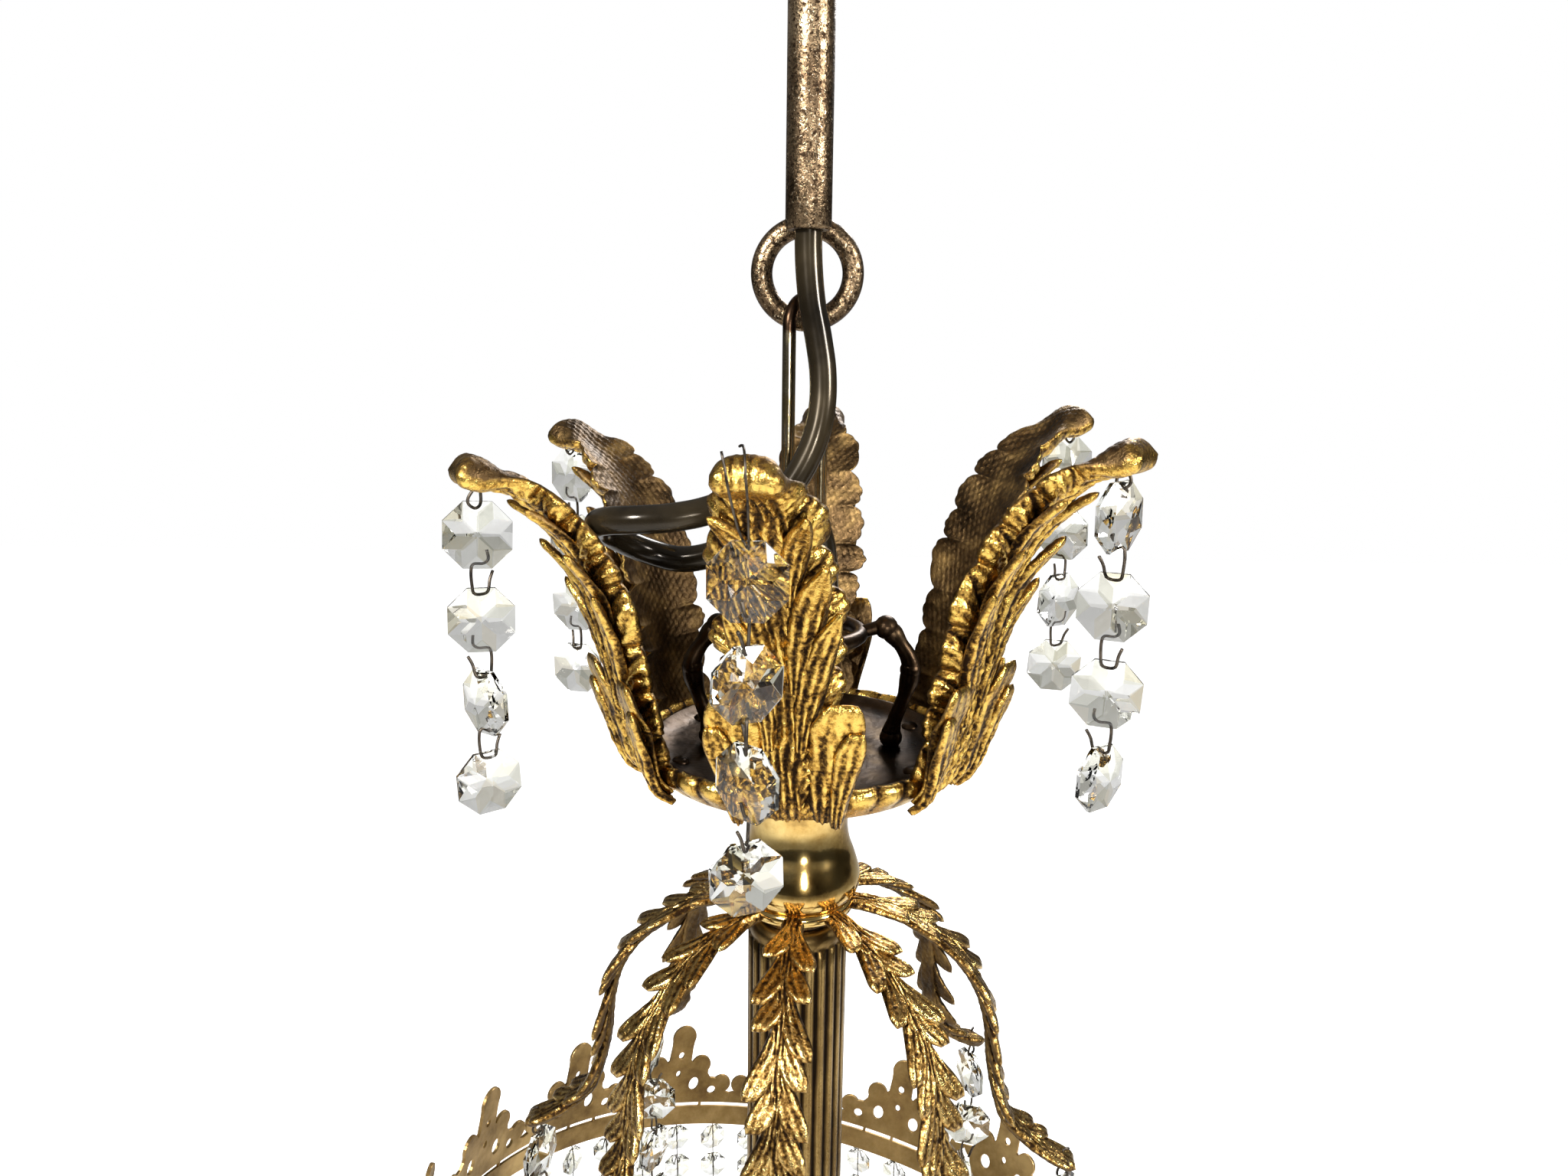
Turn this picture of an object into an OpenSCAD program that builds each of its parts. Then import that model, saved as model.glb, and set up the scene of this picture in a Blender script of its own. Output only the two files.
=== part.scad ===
// Small hanging chandelier: a rod and ring, a wire link, a crown of six cast leaves,
// eight cast acanthus arms, a reeded column, a pierced gallery ring and a bead basket.
// Origin: on the ceiling, at the centre of the down rod. +Z is up, -Y is the front.

/* [Hanging] */
// Height of the ceiling above the crown's leaf tips
crown_drop = 160; // [155:1:240]
// Outside diameter of the down rod
rod_d = 10; // [10:0.5:11]
// Bore of the down rod
rod_bore = 7.2; // [7:0.1:7.6]
// Height of the rod's open end above the leaf tips
rod_end = 43; // [42:0.5:44]
// Mean radius of the ring brazed to the rod
ring_r = 10.2; // [10:0.1:10.4]
// Wire diameter of the rod's ring
ring_wire = 4.8; // [4.6:0.1:4.8]
// How far the ring, and all that hangs on it, stands behind the rod's axis
hang_y = 7.2; // [7:0.1:7.4]
// Radius of the ceiling canopy
canopy_r = 46; // [42:1:60]
// Height of the ceiling canopy
canopy_h = 40; // [36:1:44]
// Distance between the two ceiling screws
screw_gap = 60; // [50:1:66]

/* [Link and cord] */
// Wire diameter of the long link
link_wire = 3; // [2.8:0.1:3]
// Distance between the link's two branches, centre to centre
link_w = 12; // [11.8:0.1:12.2]
// Turn of the link's plane from the X axis
link_turn = 50; // [49:1:52]
// Diameter of the flex
cord_d = 6; // [5:0.5:6]

/* [Crown] */
// Number of leaves in the crown
leaf_n = 6; // [6:1:6]
// Direction of the first leaf, turned from the front towards +X
leaf_az = -4.7; // [-8:0.1:0]
// Thickness of a leaf casting
leaf_t = 2.4; // [2:0.1:2.8]
// Radius of the dish that holds the leaves
dish_r = 37.4; // [36:0.1:37.6]

/* [Arms and column] */
// Number of arms below the neck
arm_n = 8; // [8:1:8]
// Direction of the first arm, turned from the front towards +X
arm_az = -5.5; // [-8:0.5:-4]
// Thickness of an arm casting
arm_t = 2.4; // [2:0.1:2.6]
// Outside diameter of the reeded column
column_d = 25; // [24:0.5:26]

/* [Crystals] */
// Width of a large octagon across its flats
bead_d = 14; // [12:0.5:14]
// Thickness of a large octagon
bead_t = 5.4; // [4:0.2:6]
// Distance between two octagons on a strand
bead_pitch = 18; // [17:0.5:19]
// Octagons on each strand
bead_n = 4; // [2:1:4]
// Wire diameter of the strands' pins
hook_wire = 0.9; // [0.8:0.1:1]

/* [Gallery and basket] */
// Radius of the gallery ring
gallery_r = 106; // [104:1:108]
// Height of the plain band of the gallery
band_h = 7.2; // [6:0.2:8]
// Height of the whole gallery with its crest
crest_h = 38; // [34:1:40]
// Sheet thickness of the gallery
gallery_t = 1.2; // [1:0.1:1.6]
// Number of palmettes on the gallery
palm_n = 16; // [16:1:16]
// How far the gallery leans down to its right
lean_right = 10; // [0:1:11]
// How far the gallery leans down to its back
lean_back = 7; // [0:1:8]
// Thickness of the basket of small strands
basket_t = 2.4; // [2:0.2:4]
// Height of the basket's lower end below the leaf tips
basket_end = 446; // [440:1:450]

/* [Hidden] */
$fn = 48;

gap = 0.3;                       // clearance between bodies that move apart
ring_z = rod_end - ring_r + 1.6; // centre of the rod's ring, above the leaf tips
link_top = ring_z - ring_r + ring_wire / 2 + 1 - (link_w - link_wire) / 2;
bar_z = -48;                     // the hanger's cross bar, which rests in the link
bar_d = 3.5;
link_low = bar_z - bar_d / 2 - 0.4 + (link_w - link_wire) / 2;
hanger_r = 14;                   // the hanger's horizontal ring
stem_d = 10;
stem_bore = 6.6;
stem_top = -71;
dish_top = -74;
dish_floor = -77;
neck_top = -82.5;
neck_low = -115;
hub_low = -118.5;
nut_low = -121;
column_low = -284;
gallery_z = -254;                // lower edge of the gallery at its centre
spoke_az = 6;
lamp_n = 3;
lamp_az = 60;
lamp_r = 40;
lamp_z = -292;
holder_l = 36;
holder_d = 26;
bulb_d = 35;
bulb_l = 74;
plate_r = 30;
pin_head = 4;                    // ball at the top of a strand's pin, which rests on its leaf
pin_hole = 3;                    // hole for the pin near a casting's tip
arm_inset = 3;                   // hole's distance behind an arm's tip
arm_drop = 13.6;                 // first octagon's centre below its ball, on an arm

// Profile of a leaf from its foot to its tip, as radius and height, and half its width there.
leaf_path = [[21, -85.4], [28, -84], [34.5, -80.4], [39, -74.4], [41.5, -66], [43.5, -56],
    [46.2, -43], [49.4, -31], [54.5, -20], [61.5, -11], [70, -4.6], [78.6, -0.5]];
leaf_half = [5, 9, 13, 15.6, 17, 17, 14.5, 13.4, 12.4, 10.6, 6.8, 5.4];
leaf_lift = [0, 1, 3, 0, -3, -5]; // each leaf tip is bent a little up or down
leaf_bend = [-4.2, 0, 0, 0, 0, 0]; // and to one side
leaf_inset = [3, 4.4, 3, 3, 3, 4]; // hole's distance behind each leaf's tip
leaf_drop = [20, 13.4, 13.6, 13.6, 13.6, 15]; // first octagon's centre below its ball
leaf_sag = 3;
// Profile of an arm from the hub to its tip, and half its width there.
arm_path = [[15.2, -117], [22, -118.6], [29, -121.5], [39.5, -129], [45.8, -138],
    [48.8, -148], [50, -159], [52, -168], [54.5, -174.6], [60, -180], [66.5, -184.4],
    [72.6, -187.5]];
arm_half = [4, 6, 7.4, 8, 8, 8, 7.6, 6.4, 4.4, 6, 6, 3.6];
arm_sag = 2.4;
// Profile of the bead basket, as radius and height.
basket_path = [[gallery_r, gallery_z], [105, -285], [101, -315], [93, -345], [81, -375],
    [66, -402], [49, -425], [plate_r - 3, -basket_end]];
// Route of the flex from inside the rod to the top of the stem, from the rod's axis.
cord_route = [[0, 0, 56], [0, 0, 49], [0, 0, 43], [0.2, -0.4, 36], [1, -1.2, 28],
    [2.5, -2, 20.5], [3.6, -3, 13], [3.5, -4.2, 5.4], [1.9, -5.2, -1.8], [-1.4, -5.6, -8.8],
    [-6, -5.6, -15.2], [-11.2, -5.2, -21], [-16.8, -4.2, -25.6], [-22.6, -2.6, -28.2],
    [-28.6, -1.5, -29], [-34.4, -1.8, -27.5], [-39.2, -4.4, -25], [-42.6, -8.6, -22.2],
    [-44.1, -14, -19.8], [-43.2, -19.4, -18], [-39.9, -23.8, -16.8], [-34.8, -26.4, -16.2],
    [-28.4, -26.8, -15.7], [-22, -26.2, -14.7], [-16.2, -25, -13], [-10.6, -23.4, -11.3],
    [-4.8, -21.5, -11.9], [0, -19.5, -15.1], [3, -17.2, -20.4], [4.2, -14.2, -26.4],
    [4.6, -10.6, -32.2], [5.2, -6.4, -37.8], [5.7, -2.2, -43.4], [5.7, 0.8, -49],
    [4.2, 3.5, -55], [2, 5.7, -61], [0.5, 6.9, -66.4], [0, hang_y, -71.6], [0, hang_y, -82]];

function unit(v) = v / norm(v);
function tangent(p, i) = unit(p[min(i + 1, len(p) - 1)] - p[max(i - 1, 0)]);
// A direction across a path, pointing to the left of its travel, in the plane of the profile.
function across(p, i) = let(t = tangent(p, i)) [-t[1], t[0]];
function flat(lists) = [for (a = lists) for (b = a) b];

// Sides of a closed tube of `rows` rings with `cols` points each, and its two ends.
function tube_faces(rows, cols) = concat(
    [[for (j = [0:cols - 1]) j]],
    flat([for (i = [0:rows - 2]) flat([for (j = [0:cols - 1])
        let(a = i * cols + j, b = i * cols + (j + 1) % cols)
        [[a, a + cols, b], [b, a + cols, b + cols]]])]),
    [[for (j = [cols - 1:-1:0]) (rows - 1) * cols + j]]);

// Places a casting that is drawn along +X at a direction turned from the front towards +X.
module turned(az) { rotate([0, 0, az - 90]) children(); }
// Places everything that hangs below the rod's ring, measured from the leaf tips.
module hung() { translate([0, hang_y, -crown_drop]) children(); }

function leaf_dir(k) = leaf_az + k * 360 / leaf_n;
function arm_dir(k) = arm_az + k * 360 / arm_n;

// A leaf-like casting: a profile in the XZ plane, widened along Y and hollowed on its inside.
cast_cols = 5;
function cast_row(path, half, sag, t, bend, i) = let(n = across(path, i), h = half[i],
        s = [for (j = [0:cast_cols - 1]) 2 * j / (cast_cols - 1) - 1],
        side = bend * pow(i / (len(path) - 1), 2), deep = sign(sag) * min(abs(sag), h / 3))
    concat([for (u = s) let(q = path[i] + n * (t / 2 + deep * u * u))
            [q[0], side + u * h, q[1]]],
        [for (j = [cast_cols - 1:-1:0]) let(u = s[j], q = path[i] + n * (deep * u * u - t / 2))
            [q[0], side + u * h, q[1]]]);
module casting(path, half, sag, t, bend) {
    rows = [for (i = [0:len(path) - 1]) cast_row(path, half, sag, t, bend, i)];
    polyhedron(points = flat(rows), faces = tube_faces(len(rows), 2 * cast_cols),
        convexity = 6);
}
// Centre of the ball that rests over the hole, `inset` behind the end of a casting.
function ball_at(path, inset, t, bend) = let(n = len(path), a = path[n - 2], b = path[n - 1],
    f = inset / (b[0] - a[0])) [b[0] - inset, bend * pow((n - 1 - f) / (n - 1), 2),
        b[1] - f * (b[1] - a[1]) + t / 2 + 0.8];
// Hole and seat for a strand's pin and its ball.
module hook_hole(ball, t) {
    translate(ball - [0, 0, 3 * t]) cylinder(d = pin_hole, h = 4 * t, $fn = 24);
    translate(ball - [0, 0, 1.36]) cylinder(d = pin_head + 0.4, h = 2 * t, $fn = 32);
}

function lifted(path, lift) = [for (i = [0:len(path) - 1])
    path[i] + [0, lift * pow(i / (len(path) - 1), 2)]];

module leaf(k) {
    path = lifted(leaf_path, leaf_lift[k]);
    color("goldenrod") hung() turned(leaf_dir(k)) difference() {
        casting(path, leaf_half, leaf_sag, leaf_t, leaf_bend[k]);
        hook_hole(ball_at(path, leaf_inset[k], leaf_t, leaf_bend[k]), leaf_t);
    }
}
module arm(k) {
    color("darkgoldenrod") hung() turned(arm_dir(k)) difference() {
        casting(arm_path, arm_half, -arm_sag, arm_t, 0);
        hook_hole(ball_at(arm_path, arm_inset, arm_t, 0), arm_t);
    }
}

// An octagon standing on edge, with a flat at its top, its face towards -Y.
module octagon(d, t) {
    rotate([90, 22.5, 0]) cylinder(d = d / cos(22.5), h = t, center = true, $fn = 8);
}
// A strand below its ball, whose centre is the origin; `face` turns its octagons.
module strand(k, drop, face) {
    length = drop + (bead_n - 1) * bead_pitch;
    sphere(d = pin_head);
    translate([0, 0, -length]) cylinder(d = hook_wire, h = length, $fn = 24);
    for (i = [0:bead_n - 1]) translate([0, 0, -drop - i * bead_pitch])
        rotate([0, 0, face + 40 * sin(131 * i + 77 * k)]) octagon(bead_d, bead_t);
}
module crown_strand(k) {
    ball = ball_at(lifted(leaf_path, leaf_lift[k]), leaf_inset[k], leaf_t, leaf_bend[k]);
    color("aliceblue") hung() turned(leaf_dir(k)) translate(ball)
        strand(k, leaf_drop[k], 90 - leaf_dir(k));
}
module arm_strand(k) {
    color("aliceblue") hung() turned(arm_dir(k))
        translate(ball_at(arm_path, arm_inset, arm_t, 0)) strand(k + leaf_n, arm_drop, 90);
}

// ---- ceiling fitting, rod and ring ----
module ceiling_bracket() {
    color("silver") difference() {
        union() {
            translate([-39, -9, -2.5]) cube([78, 18, 2.5]);
            for (s = [-1, 1]) translate([s * 37.8 - 1.2, -5, -10]) cube([2.4, 10, 8]);
        }
        for (s = [-1, 1]) translate([s * screw_gap / 2, 0, -3]) cylinder(r = 2.2, h = 4);
        translate([0, 0, -3]) cylinder(d = rod_d + 0.1, h = 4);
        for (s = [-1, 1]) translate([s * 20, 0, -3]) cylinder(r = 1.6, h = 4);
        rotate([0, 90, 0]) translate([5, 0, -40]) cylinder(r = 1.5, h = 80);
    }
}
module canopy() {
    color("goldenrod") difference() {
        rotate_extrude($fn = 96) polygon([[rod_d / 2 + gap, -canopy_h], [12, -canopy_h],
            [15, -canopy_h + 3], [22, -canopy_h + 6], [33, -canopy_h + 12],
            [canopy_r - 4, -canopy_h + 22], [canopy_r - 1.4, -12], [canopy_r, -8],
            [canopy_r, -0.4], [canopy_r - 1.6, -0.4], [canopy_r - 1.6, -8],
            [canopy_r - 3, -12], [canopy_r - 5.6, -canopy_h + 23.4], [32, -canopy_h + 13.6],
            [21, -canopy_h + 7.6], [14, -canopy_h + 4.6], [rod_d / 2 + gap, -canopy_h + 2]]);
        rotate([0, 90, 0]) translate([5, 0, -canopy_r - 1]) cylinder(r = 1.7, h = 2 * canopy_r + 2);
    }
}
module canopy_screws() {
    color("gold") for (s = [0, 180]) rotate([0, 0, s]) translate([36, 0, -5])
        rotate([0, 90, 0]) {
            cylinder(r = 1.5, h = canopy_r - 36);
            translate([0, 0, canopy_r - 36]) cylinder(r = 3.4, h = 2.2);
        }
}
module canopy_collar() {
    color("goldenrod") rotate_extrude() polygon([[rod_d / 2, -canopy_h - 8],
        [8, -canopy_h - 8], [9.6, -canopy_h - 6.4], [9.6, -canopy_h - 2], [8.4, -canopy_h],
        [rod_d / 2, -canopy_h]]);
}
module rod_nut() {
    color("silver") translate([0, 0, -7.5]) difference() {
        cylinder(r = 9, h = 5, $fn = 6);
        translate([0, 0, -1]) cylinder(d = rod_d, h = 7);
    }
}
module terminal_block() {
    color("white") difference() {
        translate([13, -8, -14.5]) cube([14, 16, 12]);
        for (s = [-4, 0, 4]) translate([12, s, -9]) rotate([0, 90, 0])
            cylinder(d = 2.4, h = 16, $fn = 24);
    }
}
module down_rod() {
    color("tan") translate([0, 0, rod_end - crown_drop]) difference() {
        cylinder(d = rod_d, h = crown_drop - rod_end);
        translate([0, 0, -1]) cylinder(d = rod_bore, h = crown_drop - rod_end + 2);
    }
}
module rod_ring() {
    color("tan") translate([0, hang_y, ring_z - crown_drop]) rotate([90, 0, 0])
        rotate_extrude() translate([ring_r, 0]) circle(d = ring_wire);
}
module wire_link() {
    color("gold") hung() rotate([0, 0, link_turn]) {
        for (s = [-1, 1]) translate([s * link_w / 2, 0, link_low])
            cylinder(d = link_wire, h = link_top - link_low);
        translate([0, 0, link_top]) half_ring();
        translate([0, 0, link_low]) mirror([0, 0, 1]) half_ring();
    }
}
// The rounded end of the link.
module half_ring() {
    rotate([90, 0, 0]) rotate_extrude(angle = 180) translate([link_w / 2, 0])
        circle(d = link_wire, $fn = 32);
}

// ---- flex ----
cord_cols = 8;
cord_path = smooth(cord_route);
// Two curve points for each stretch of the route (Catmull-Rom).
function smooth(p) = concat([for (i = [0:len(p) - 2]) for (f = [0, 0.5])
    let(a = p[max(i - 1, 0)], b = p[i], c = p[i + 1], d = p[min(i + 2, len(p) - 1)])
    (2 * b + (c - a) * f + (2 * a - 5 * b + 4 * c - d) * f * f
        + (3 * b - a - 3 * c + d) * f * f * f) / 2], [p[len(p) - 1]]);
// A frame carried along the path without twisting.
function carried(t, v) = unit(v - t * (t * v));
function frames(p, i = 0, v = [1, 0, 0]) = i == len(p) ? [] :
    let(n = carried(tangent(p, i), v)) concat([n], frames(p, i + 1, n));
module cord() {
    sides = frames(cord_path);
    rings = [for (i = [0:len(cord_path) - 1]) let(a = sides[i],
        b = cross(tangent(cord_path, i), a)) [for (j = [0:cord_cols - 1])
        let(w = j * 360 / cord_cols) cord_path[i] + (a * cos(w) + b * sin(w)) * cord_d / 2]];
    color("black") translate([0, 0, -crown_drop])
        polyhedron(points = flat(rings), faces = tube_faces(len(rings), cord_cols),
            convexity = 8);
}

// ---- crown ----
module crown_hanger() {
    color("saddlebrown") hung() {
        translate([0, 0, bar_z]) {
            rotate_extrude() translate([hanger_r, 0]) circle(d = bar_d);
            rotate([90, 0, 0]) cylinder(d = bar_d, h = 2 * hanger_r, center = true);
        }
        for (s = [0:3]) rotate([0, 0, 90 * s]) {
            translate([20, 0, bar_z + 1.4]) sphere(r = 2.9);
            rod([hanger_r, 0, bar_z], [20, 0, bar_z + 1.4], 1.7);
            rod([20, 0, bar_z + 1.4], [26.4, 0, -57], 1.9);
            translate([26.4, 0, -57]) sphere(r = 2.6);
            rod([26.4, 0, -57], [22, 0, dish_floor + 5], 1.9);
            translate([22, 0, dish_floor + 2.8]) sphere(r = 2.8);
        }
    }
}
// A round bar between two points.
module rod(a, b, r) {
    d = b - a;
    translate(a) rotate([0, acos(d[2] / norm(d)), atan2(d[1], d[0])])
        cylinder(r = r, h = norm(d));
}
module crown_dish() {
    color("sienna") hung() difference() {
        rotate_extrude($fn = 96) polygon([[stem_d / 2, neck_top], [14, neck_top], [30, -80.2],
            [dish_r, dish_top - 2], [dish_r, dish_top], [dish_r - 1.6, dish_top],
            [dish_r - 4, dish_floor], [stem_d / 2, dish_floor]]);
        for (k = [0:leaf_n - 1]) turned(leaf_dir(k))
            translate([31, 0, -90]) cylinder(r = 1.1, h = 20, $fn = 24);
    }
}
module leaf_screws() {
    color("peru") hung() for (k = [0:leaf_n - 1]) turned(leaf_dir(k)) {
        translate([31, 0, -81]) cylinder(r = 1.1, h = dish_floor + 81, $fn = 24);
        translate([31, 0, dish_floor]) cylinder(r = 2.2, h = 1.4);
    }
}
module stem_tube() {
    color("tan") hung() translate([0, 0, -basket_end - 12]) difference() {
        cylinder(d = stem_d, h = basket_end + 12 + stem_top);
        translate([0, 0, -1]) cylinder(d = stem_bore, h = basket_end + 14 + stem_top);
    }
}
module top_nut() {
    color("peru") hung() translate([0, 0, dish_floor]) difference() {
        cylinder(r = 9, h = 5, $fn = 6);
        translate([0, 0, -1]) cylinder(d = stem_d, h = 7);
    }
}
// Turned profile of the neck, top to bottom, as radius and height.
neck_shape = [[stem_d / 2, neck_top], [14.2, neck_top], [14.2, neck_top - 3.4], [13.2, -88],
    [12.2, -92], [12, -96], [12.6, -100], [14, -104], [15, -107.5], [15.4, -110],
    [15, -113], [13.6, neck_low], [stem_d / 2, neck_low]];
module neck() {
    color("gold") hung() rotate_extrude($fn = 96) polygon(neck_shape);
}

// ---- arms and column ----
module washer(top, low, r) {
    hung() translate([0, 0, low]) difference() {
        cylinder(r = r, h = top - low);
        translate([0, 0, -1]) cylinder(d = stem_d, h = top - low + 2);
    }
}
module arm_hub() { color("darkgoldenrod") washer(neck_low, hub_low, 14); }
module hub_nut() { color("peru") washer(hub_low, nut_low, 10.5); }
module column() {
    color("peru") hung() translate([0, 0, column_low]) difference() {
        cylinder(d = column_d, h = nut_low - column_low);
        translate([0, 0, -1]) cylinder(d = column_d - 4, h = nut_low - column_low - 1);
        translate([0, 0, -1]) cylinder(d = stem_d, h = nut_low - column_low + 2);
    }
}

// ---- gallery ----
module leaned() {
    hung() translate([0, 0, gallery_z]) rotate([-lean_back, lean_right, 0]) children();
}
// Outline of the gap between two palmettes, its middle at X = 0, measured from the band's foot.
gap_side = [[4, band_h + 5], [4.4, band_h + 9], [8.6, band_h + 11.4], [9.8, band_h + 15],
    [11.6, band_h + 18], [16, band_h + 19.4], [16, crest_h - 5], [17, crest_h - 2.2],
    [18.8, crest_h - 0.6], [19.4, crest_h + 2]];
module palmette_gap() {
    polygon(concat(gap_side, [for (i = [len(gap_side) - 1:-1:0]) [-gap_side[i][0], gap_side[i][1]]]));
}
module gallery() {
    color("tan") leaned() difference() {
        cylinder(r = gallery_r + gallery_t / 2, h = crest_h);
        translate([0, 0, -1]) cylinder(r = gallery_r - gallery_t / 2, h = crest_h + 2);
        for (k = [0:palm_n - 1]) turned(1.5 + (k + 0.5) * 360 / palm_n)
            translate([gallery_r - 4, 0, 0]) rotate([90, 0, 90]) linear_extrude(8)
                palmette_gap();
        for (k = [0:palm_n - 1]) turned(1.5 + k * 360 / palm_n) for (s = [-6.4, 6.4])
            translate([gallery_r - 4, s, 15.4]) rotate([0, 90, 0]) cylinder(r = 2.2, h = 8);
    }
}
// Point on the leaning ring's lower edge, measured from its centre.
function lean_point(r, a) = let(x = r * cos(a), y = r * sin(a),
    y2 = y * cos(lean_back), z2 = -y * sin(lean_back))
    [x * cos(lean_right) + z2 * sin(lean_right), y2, z2 * cos(lean_right) - x * sin(lean_right)];
module gallery_spider() {
    hub_z = gallery_z - 12;
    color("tan") {
        hung() translate([0, 0, hub_z - 3]) difference() {
            cylinder(r = 18, h = 8);
            translate([0, 0, -1]) cylinder(d = column_d, h = 10);
        }
        hung() for (k = [0:3]) let(a = spoke_az - 90 + 90 * k,
            p = lean_point(gallery_r - gallery_t / 2 - 0.6, a) + [0, 0, gallery_z + 2.2])
            rod([16 * cos(a), 16 * sin(a), hub_z + 1], p, 1.8);
    }
}

// ---- lamps ----
module lamp_cluster() {
    color("gold") hung() difference() {
        union() {
            translate([0, 0, lamp_z - 5]) cylinder(r = 15, h = 13);
            for (k = [0:lamp_n - 1]) turned(lamp_az + k * 360 / lamp_n) {
                translate([12, 0, lamp_z]) rotate([0, 90, 0]) cylinder(r = 3, h = lamp_r - 12);
                translate([lamp_r, 0, lamp_z - 5]) cylinder(r = 8, h = 9);
            }
        }
        translate([0, 0, lamp_z - 6]) cylinder(d = stem_d, h = 16);
    }
}
module lampholder(k) {
    color("ivory") hung() turned(lamp_az + k * 360 / lamp_n)
        translate([lamp_r, 0, lamp_z - 5 - holder_l]) difference() {
            cylinder(d = holder_d, h = holder_l);
            translate([0, 0, -1]) cylinder(d = 15, h = holder_l - 7);
        }
}
module bulb(k) {
    color("white") hung() turned(lamp_az + k * 360 / lamp_n)
        translate([lamp_r, 0, lamp_z - 5 - holder_l]) rotate_extrude() polygon([[0, 20],
            [7.5, 20], [7.5, 0], [9, -4], [14, -12], [17, -20], [bulb_d / 2, -27],
            [16.6, -36], [13.4, -48], [8, -61], [3, -bulb_l + 3], [0, -bulb_l]]);
}

// ---- basket, plate and finial ----
basket_cols = 32;
// Point on the basket: level at its lower end, leaning with the gallery at its top.
function basket_point(i, shift, a) = let(p = basket_path[i] + [shift, -shift / 3],
    lean = (lean_point(gallery_r, a) - [gallery_r * cos(a), gallery_r * sin(a), 0])
        * (1 - i / (len(basket_path) - 1)))
    [p[0] * cos(a), p[0] * sin(a), p[1] - 1] + lean;
module bead_basket() {
    n = len(basket_path);
    order = concat([for (i = [0:n - 1]) [i, 0.6]], [for (i = [n - 1:-1:0]) [i, 0.6 - basket_t]]);
    m = len(order);
    points = flat([for (j = [0:basket_cols - 1]) [for (q = order)
        basket_point(q[0], q[1], j * 360 / basket_cols)]]);
    faces = flat([for (j = [0:basket_cols - 1]) flat([for (i = [0:m - 1])
        let(a = j * m + i, b = j * m + (i + 1) % m, c = ((j + 1) % basket_cols) * m + i,
            d = ((j + 1) % basket_cols) * m + (i + 1) % m) [[a, b, c], [b, d, c]]])]);
    color("lightcyan") hung() polyhedron(points = points, faces = faces, convexity = 6);
}
module bottom_plate() {
    color("gold") hung() rotate_extrude($fn = 96) polygon([[stem_d / 2, -basket_end - 8],
        [18, -basket_end - 8], [26, -basket_end - 6], [plate_r, -basket_end - 4],
        [plate_r, -basket_end - 2], [26, -basket_end - 3], [stem_d / 2, -basket_end - 3]]);
}
module finial() {
    top = -basket_end - 8;
    color("gold") hung() rotate_extrude($fn = 64) polygon([[stem_d / 2, top], [11, top],
        [12, top - 2], [8, top - 5], [6, top - 8], [8.5, top - 11], [10, top - 15],
        [8.5, top - 19], [4, top - 22], [3, top - 24], [4, top - 27], [2.4, top - 30],
        [0, top - 31], [0, top - 6], [stem_d / 2, top - 6]]);
}

ceiling_bracket();
canopy();
canopy_screws();
canopy_collar();
rod_nut();
terminal_block();
down_rod();
rod_ring();
cord();
wire_link();
crown_hanger();
crown_dish();
for (k = [0:leaf_n - 1]) leaf(k);
leaf_screws();
stem_tube();
top_nut();
neck();
arm_hub();
for (k = [0:arm_n - 1]) arm(k);
hub_nut();
column();
gallery();
gallery_spider();
lamp_cluster();
for (k = [0:lamp_n - 1]) lampholder(k);
for (k = [0:lamp_n - 1]) bulb(k);
bead_basket();
bottom_plate();
finial();
for (k = [0:leaf_n - 1]) crown_strand(k);
for (k = [0:arm_n - 1]) arm_strand(k);
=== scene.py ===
"""The looks of a small hanging chandelier of gilt brass and cut glass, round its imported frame.

Lengths below are millimetres in the row's own frame: z = 0 is the ceiling, -Y is the front.
Castings are drawn along +X, from the chandelier's axis outwards, and then turned to their place.
"""

import math
import random

import bmesh
import bpy
import numpy as np
from mathutils import Matrix, Vector


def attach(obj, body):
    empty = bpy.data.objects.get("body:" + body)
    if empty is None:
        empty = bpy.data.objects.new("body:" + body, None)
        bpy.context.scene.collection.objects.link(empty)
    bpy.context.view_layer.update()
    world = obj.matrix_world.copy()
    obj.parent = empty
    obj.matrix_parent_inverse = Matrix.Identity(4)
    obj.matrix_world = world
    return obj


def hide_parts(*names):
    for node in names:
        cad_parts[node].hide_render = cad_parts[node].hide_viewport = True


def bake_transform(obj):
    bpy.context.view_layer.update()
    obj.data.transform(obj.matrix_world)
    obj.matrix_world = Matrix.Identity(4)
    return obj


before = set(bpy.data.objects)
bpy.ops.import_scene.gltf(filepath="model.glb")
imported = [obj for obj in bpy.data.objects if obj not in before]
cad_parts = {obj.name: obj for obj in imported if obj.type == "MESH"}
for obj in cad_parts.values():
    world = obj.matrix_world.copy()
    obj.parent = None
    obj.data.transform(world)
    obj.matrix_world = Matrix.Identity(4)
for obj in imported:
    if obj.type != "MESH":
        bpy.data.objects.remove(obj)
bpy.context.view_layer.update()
random.seed(7)

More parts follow.
